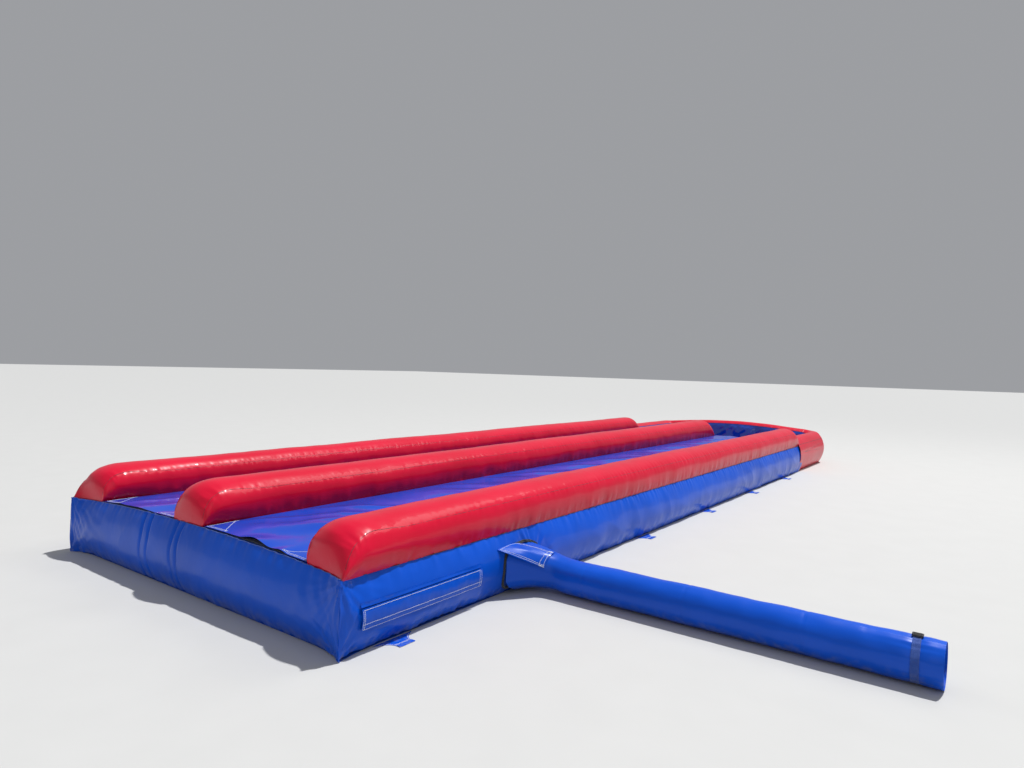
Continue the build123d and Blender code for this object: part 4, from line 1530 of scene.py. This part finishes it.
# ---------------------------------------------------------------- deflation zip
@dataclass
class DeflationZip:
    """Long zip on the right wall under a sewn cover flap."""

    wall: SideWall

    HEADER = 0.022
    TOOTH = 0.0024
    TOOTH_PITCH = 0.0042

    def __post_init__(self) -> None:
        """Read the flap's place from the frame."""
        self.low, self.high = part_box("zip_flap")
        self.noise = SmoothNoise(41)

    def flap_form(self, u: Array, v: Array) -> Array:
        """Cover flap for u along it and v up it."""
        y = self.low.y + (self.high.y - self.low.y) * u
        z = self.low.z + (self.high.z - self.low.z) * v
        bow = self.low.x + 0.0045 + 0.0040 * v + 0.0095 * np.sin(math.pi * v)
        bow = np.maximum(bow, self.wall.surface(y, z)[..., 0] + 0.0035)
        ripple = 0.0022 * self.noise.at(y / 0.11, v * 1.4) + 0.0016 * self.noise.at(y / 0.045, v * 2 + 5)
        free = smooth((1 - v) * 5)
        wave = 0.0030 * self.noise.at(y / 0.16, 3.3) * (1 - v)
        return stacked(bow + (ripple + wave) * free, y, z + 0.0014 * self.noise.at(y / 0.2, 8.1) * (1 - v))

    def hem_form(self, u: Array, v: Array) -> Array:
        """Strip that the flap hangs from, sewn to the wall."""
        y = self.low.y + (self.high.y - self.low.y) * u
        z = self.high.z + 0.003 + self.HEADER * v
        on_wall = self.wall.surface(y, z)
        on_wall[..., 0] += 0.0025 + (self.high.x - on_wall[..., 0] - 0.0165) * (1 - smooth(v * 1.3))
        return on_wall

    def build(self) -> Tuple[List[Piece], List[Piece]]:
        """Model the zip: the pieces on the wall, and those that swing with the flap."""
        length = self.high.y - self.low.y
        flap = panel("zip_cover_flap", 220, 14, self.flap_form, (length, 0.13), Finish.BLUE)
        thicken(flap, 0.0018)
        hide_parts("zip_flap")
        hem = panel("zip_flap_header", 220, 6, self.hem_form, (length, self.HEADER), Finish.BLUE)
        thicken(hem)
        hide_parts("zip_flap_hem")
        return [hem, self._coil()], [flap, self._stitches()]

    def _stitches(self) -> Piece:
        """One row at the hinge, two along the free edge and two up each end."""
        rows = Stitching("zip_flap_stitches")
        along = np.linspace(0.008, 0.992, 260)
        for v in (0.93, 0.07, 0.30):
            rows.on(self.flap_form, along, v)
        up = np.linspace(0.07, 0.93, 20)
        for u in (0.007, 0.0175, 0.974, 0.992):
            rows.on(self.flap_form, u, up)
        return rows.made()

    def _coil(self) -> Piece:
        """Zip coil: one tooth pair, copied along the tape."""
        low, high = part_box("zip_teeth")
        pitch = self.TOOTH_PITCH
        tooth = bevelled_block((high.x - low.x, self.TOOTH, high.z - low.z), 0.0005, 2)
        first = ((low.x + high.x) / 2, low.y + pitch / 2, (low.z + high.z) / 2)
        tooth.data.transform(Matrix.Translation(first))
        count = int((high.y - low.y) / pitch)
        apply_modifier(
            tooth, "ARRAY", count=count, use_relative_offset=False,
            use_constant_offset=True, constant_offset_displace=(0, pitch, 0),
        )
        tooth.name = tooth.data.name = "zip_coil"
        dress(tooth, Finish.PLASTIC)
        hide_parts("zip_teeth")
        return tooth


# ---------------------------------------------------------------- ground anchors
class Anchors:
    """Sewn flanges that lie on the ground along the foot of both walls."""

    COUNT = 6
    NECK = 0.095
    END_HALF = 0.062
    FOLD = 0.028

    def flange(self, side: Side, index: int) -> Piece:
        """Flange with hollow sides, its outer end folded back over itself and sewn down."""
        node = f"anchor_tab_{side.word}_{index}"
        low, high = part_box(node)
        noise = SmoothNoise(100 + index + 10 * side.value)
        sign = side.value
        root_x = low.x if side is Side.RIGHT else high.x
        reach, root_half, middle = high.x - low.x, (high.y - low.y) / 2, (high.y + low.y) / 2
        whole = reach + self.FOLD

        def form(u: Array, v: Array) -> Array:
            """Flange for u out along the ground and back over the fold, v across it."""
            path = u * whole
            out = np.where(path > reach, 2 * reach - path, path)
            over = smooth((path - reach + 0.002) / 0.004)
            half = self.END_HALF + (root_half - self.END_HALF) * np.clip(1 - out / self.NECK, 0, 1)**2.15
            half = half - 0.0015 * over
            lift = 0.0007 * noise.at(out / 0.05, v * 3) * smooth(out / 0.03)
            z = 0.0018 + np.maximum(lift, -0.0005) + 0.0019 * over
            return stacked(root_x + sign * out, middle + (1 - 2 * v) * half * -sign, z)

        flange = thicken(panel("flange", 60, 30, form, (whole, 2 * root_half), Finish.BLUE), 0.0012)
        rows = Stitching("flange_rows")
        for v in (0.05, 0.95):
            rows.on(form, np.linspace(0.012, self.NECK, 26) / whole, v)
        fold_x = reach - self.FOLD
        for row_x in (fold_x - 0.018, fold_x - 0.010, reach + 0.022):
            rows.on(form, row_x / whole, np.linspace(0.06, 0.94, 22))
        piece = joined(f"{side.word}_anchor_flange_{index}", [flange, rows.made()])
        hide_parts(node)
        return piece

    def build(self) -> None:
        """Model every anchor and let each flange ride on its own body."""
        for side in Side:
            for index in range(1, self.COUNT + 1):
                place(self.flange(side, index), f"anchor_tab_{side.word}_{index}", "blue_vinyl")


# ---------------------------------------------------------------- staging
SLOTS = {"pool_liner_vinyl": "liner_vinyl", "hem_tape": "black_binding", "white_thread": "blue_webbing"}


def place(piece: Piece, body: str = "body", slot: Optional[str] = None) -> None:
    """Let a piece ride on a body and log it.

    Args:
        piece: a finished piece.
        body: the body that carries it.
        slot: not used.
    """
    own = piece.data.materials[0].name.removesuffix(SURFACE)
    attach(piece, body)
    slot or SLOTS.get(own, own)
    LOG.info("%s rides on %s, %d faces", piece.name, body, len(piece.data.polygons))


def dress_frame_nodes() -> None:
    """Give the CAD nodes that stay in view their finishes."""
    finishes = {
        "base_baffles": Finish.BLUE, "tube_buckle": Finish.PLASTIC, "zip_tape": Finish.BLACK_WEB,
        "zip_slider": Finish.PLASTIC, "zip_hook_strip": Finish.HOOK, "zip_loop_strip": Finish.HOOK,
        "liner_hook_strips": Finish.HOOK,
    }
    for node, finish in finishes.items():
        dress(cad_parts[node], finish)


class Studio:
    """Pale floor, soft lights and the camera."""

    EYE = (4.5168, -8.2573, 1.6003)
    HEADING = math.radians(36.172)
    PITCH = math.radians(-1.351)
    ROLL = math.radians(1.618)
    LENS = 24.206
    AIM = Vector((0, -1.0, 0.4))
    SUN_WAY = Vector((-0.15, -0.38, -0.91))
    SURROUND = (0.93, 0.95, 1.0, 1.0)
    SURROUND_STRENGTH = 0.36

    def floor(self) -> None:
        """Pale ground plane."""
        deselect()
        bpy.ops.mesh.primitive_plane_add(size=240.0, location=(0, 0, 0))
        ground = bpy.context.object
        ground.name = "studio_floor"
        graph = Graph("studio_floor")
        grain = graph.noise(graph.place(), 3.0, 4.0)
        colour = graph.mixed(grain, (0.52, 0.52, 0.51), (0.55, 0.55, 0.54))
        ground.data.materials.append(graph.finish(Base_Color=colour, Roughness=0.85))

    def light(self, name: str, at: Vector, size: float, power: float, colour: Colour) -> None:
        """Square area light aimed at the slide's middle."""
        data = bpy.data.lights.new(name, "AREA")
        data.size, data.energy, data.color = size, power, colour
        lamp = linked(name, data)
        lamp.location = at
        lamp.rotation_euler = (self.AIM - at).to_track_quat("-Z", "Y").to_euler()

    def lights(self) -> None:
        """Soft key from behind, soft fill from the front, a small bright sun and a pale surround."""
        self.light("key", Vector((5.0, 6.0, 12.0)), 6.0, 350.0, (1.0, 0.98, 0.95))
        self.light("fill", Vector((8.0, -14.0, 7.0)), 9.0, 120.0, (0.96, 0.98, 1.0))
        sun = bpy.data.lights.new("glint", "SUN")
        sun.energy, sun.angle = 3.6, math.radians(1.5)
        linked("glint", sun).rotation_euler = self.SUN_WAY.to_track_quat("-Z", "Y").to_euler()
        world = bpy.context.scene.world or bpy.data.worlds.new("surround")
        bpy.context.scene.world = world
        world.use_nodes = True
        background = world.node_tree.nodes["Background"]
        background.inputs[0].default_value = self.SURROUND
        background.inputs[1].default_value = self.SURROUND_STRENGTH
        bpy.context.scene.view_settings.view_transform = "Standard"

    def camera(self) -> None:
        """Standing eye by the near front corner, held slightly askew."""
        data = bpy.data.cameras.new("view")
        data.lens, data.sensor_width = self.LENS, 36.0
        data.clip_start, data.clip_end = 0.05, 500.0
        eye = linked("view", data)
        eye.location = self.EYE
        level = Matrix.Rotation(self.HEADING, 4, "Z") @ Matrix.Rotation(math.pi / 2 + self.PITCH, 4, "X")
        eye.rotation_euler = (level @ Matrix.Rotation(self.ROLL, 4, "Z")).to_euler()
        bpy.context.scene.camera = eye

    def build(self) -> None:
        """Set up the studio."""
        self.floor()
        self.lights()
        self.camera()


def main() -> None:
    """Build the slide round the frame, then the studio."""
    logging.basicConfig(level=logging.INFO, format="%(name)s: %(message)s")
    layout = Layout.read()
    low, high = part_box("inflation_tube")
    base = BaseChamber(layout, (low.y + high.y) / 2)
    for piece in base.build():
        place(piece)
    for i, word in enumerate(("left", "middle", "right")):
        for piece in Rail(layout, word, 61 + i).build():
            place(piece)
    for i, side in enumerate(Side):
        for piece in LaneLiner(layout, side, 71 + i).build():
            place(piece)
    for piece in SplashPool(layout).build():
        place(piece)
    for piece in InflationTube(layout, base.right).build():
        place(piece)
    fixed, swinging = DeflationZip(base.right).build()
    for piece in fixed:
        place(piece)
    for piece in swinging:
        place(piece, "zip_flap")
    Anchors().build()
    dress_frame_nodes()
    Studio().build()
    deselect()


if __name__ == "__main__":
    main()
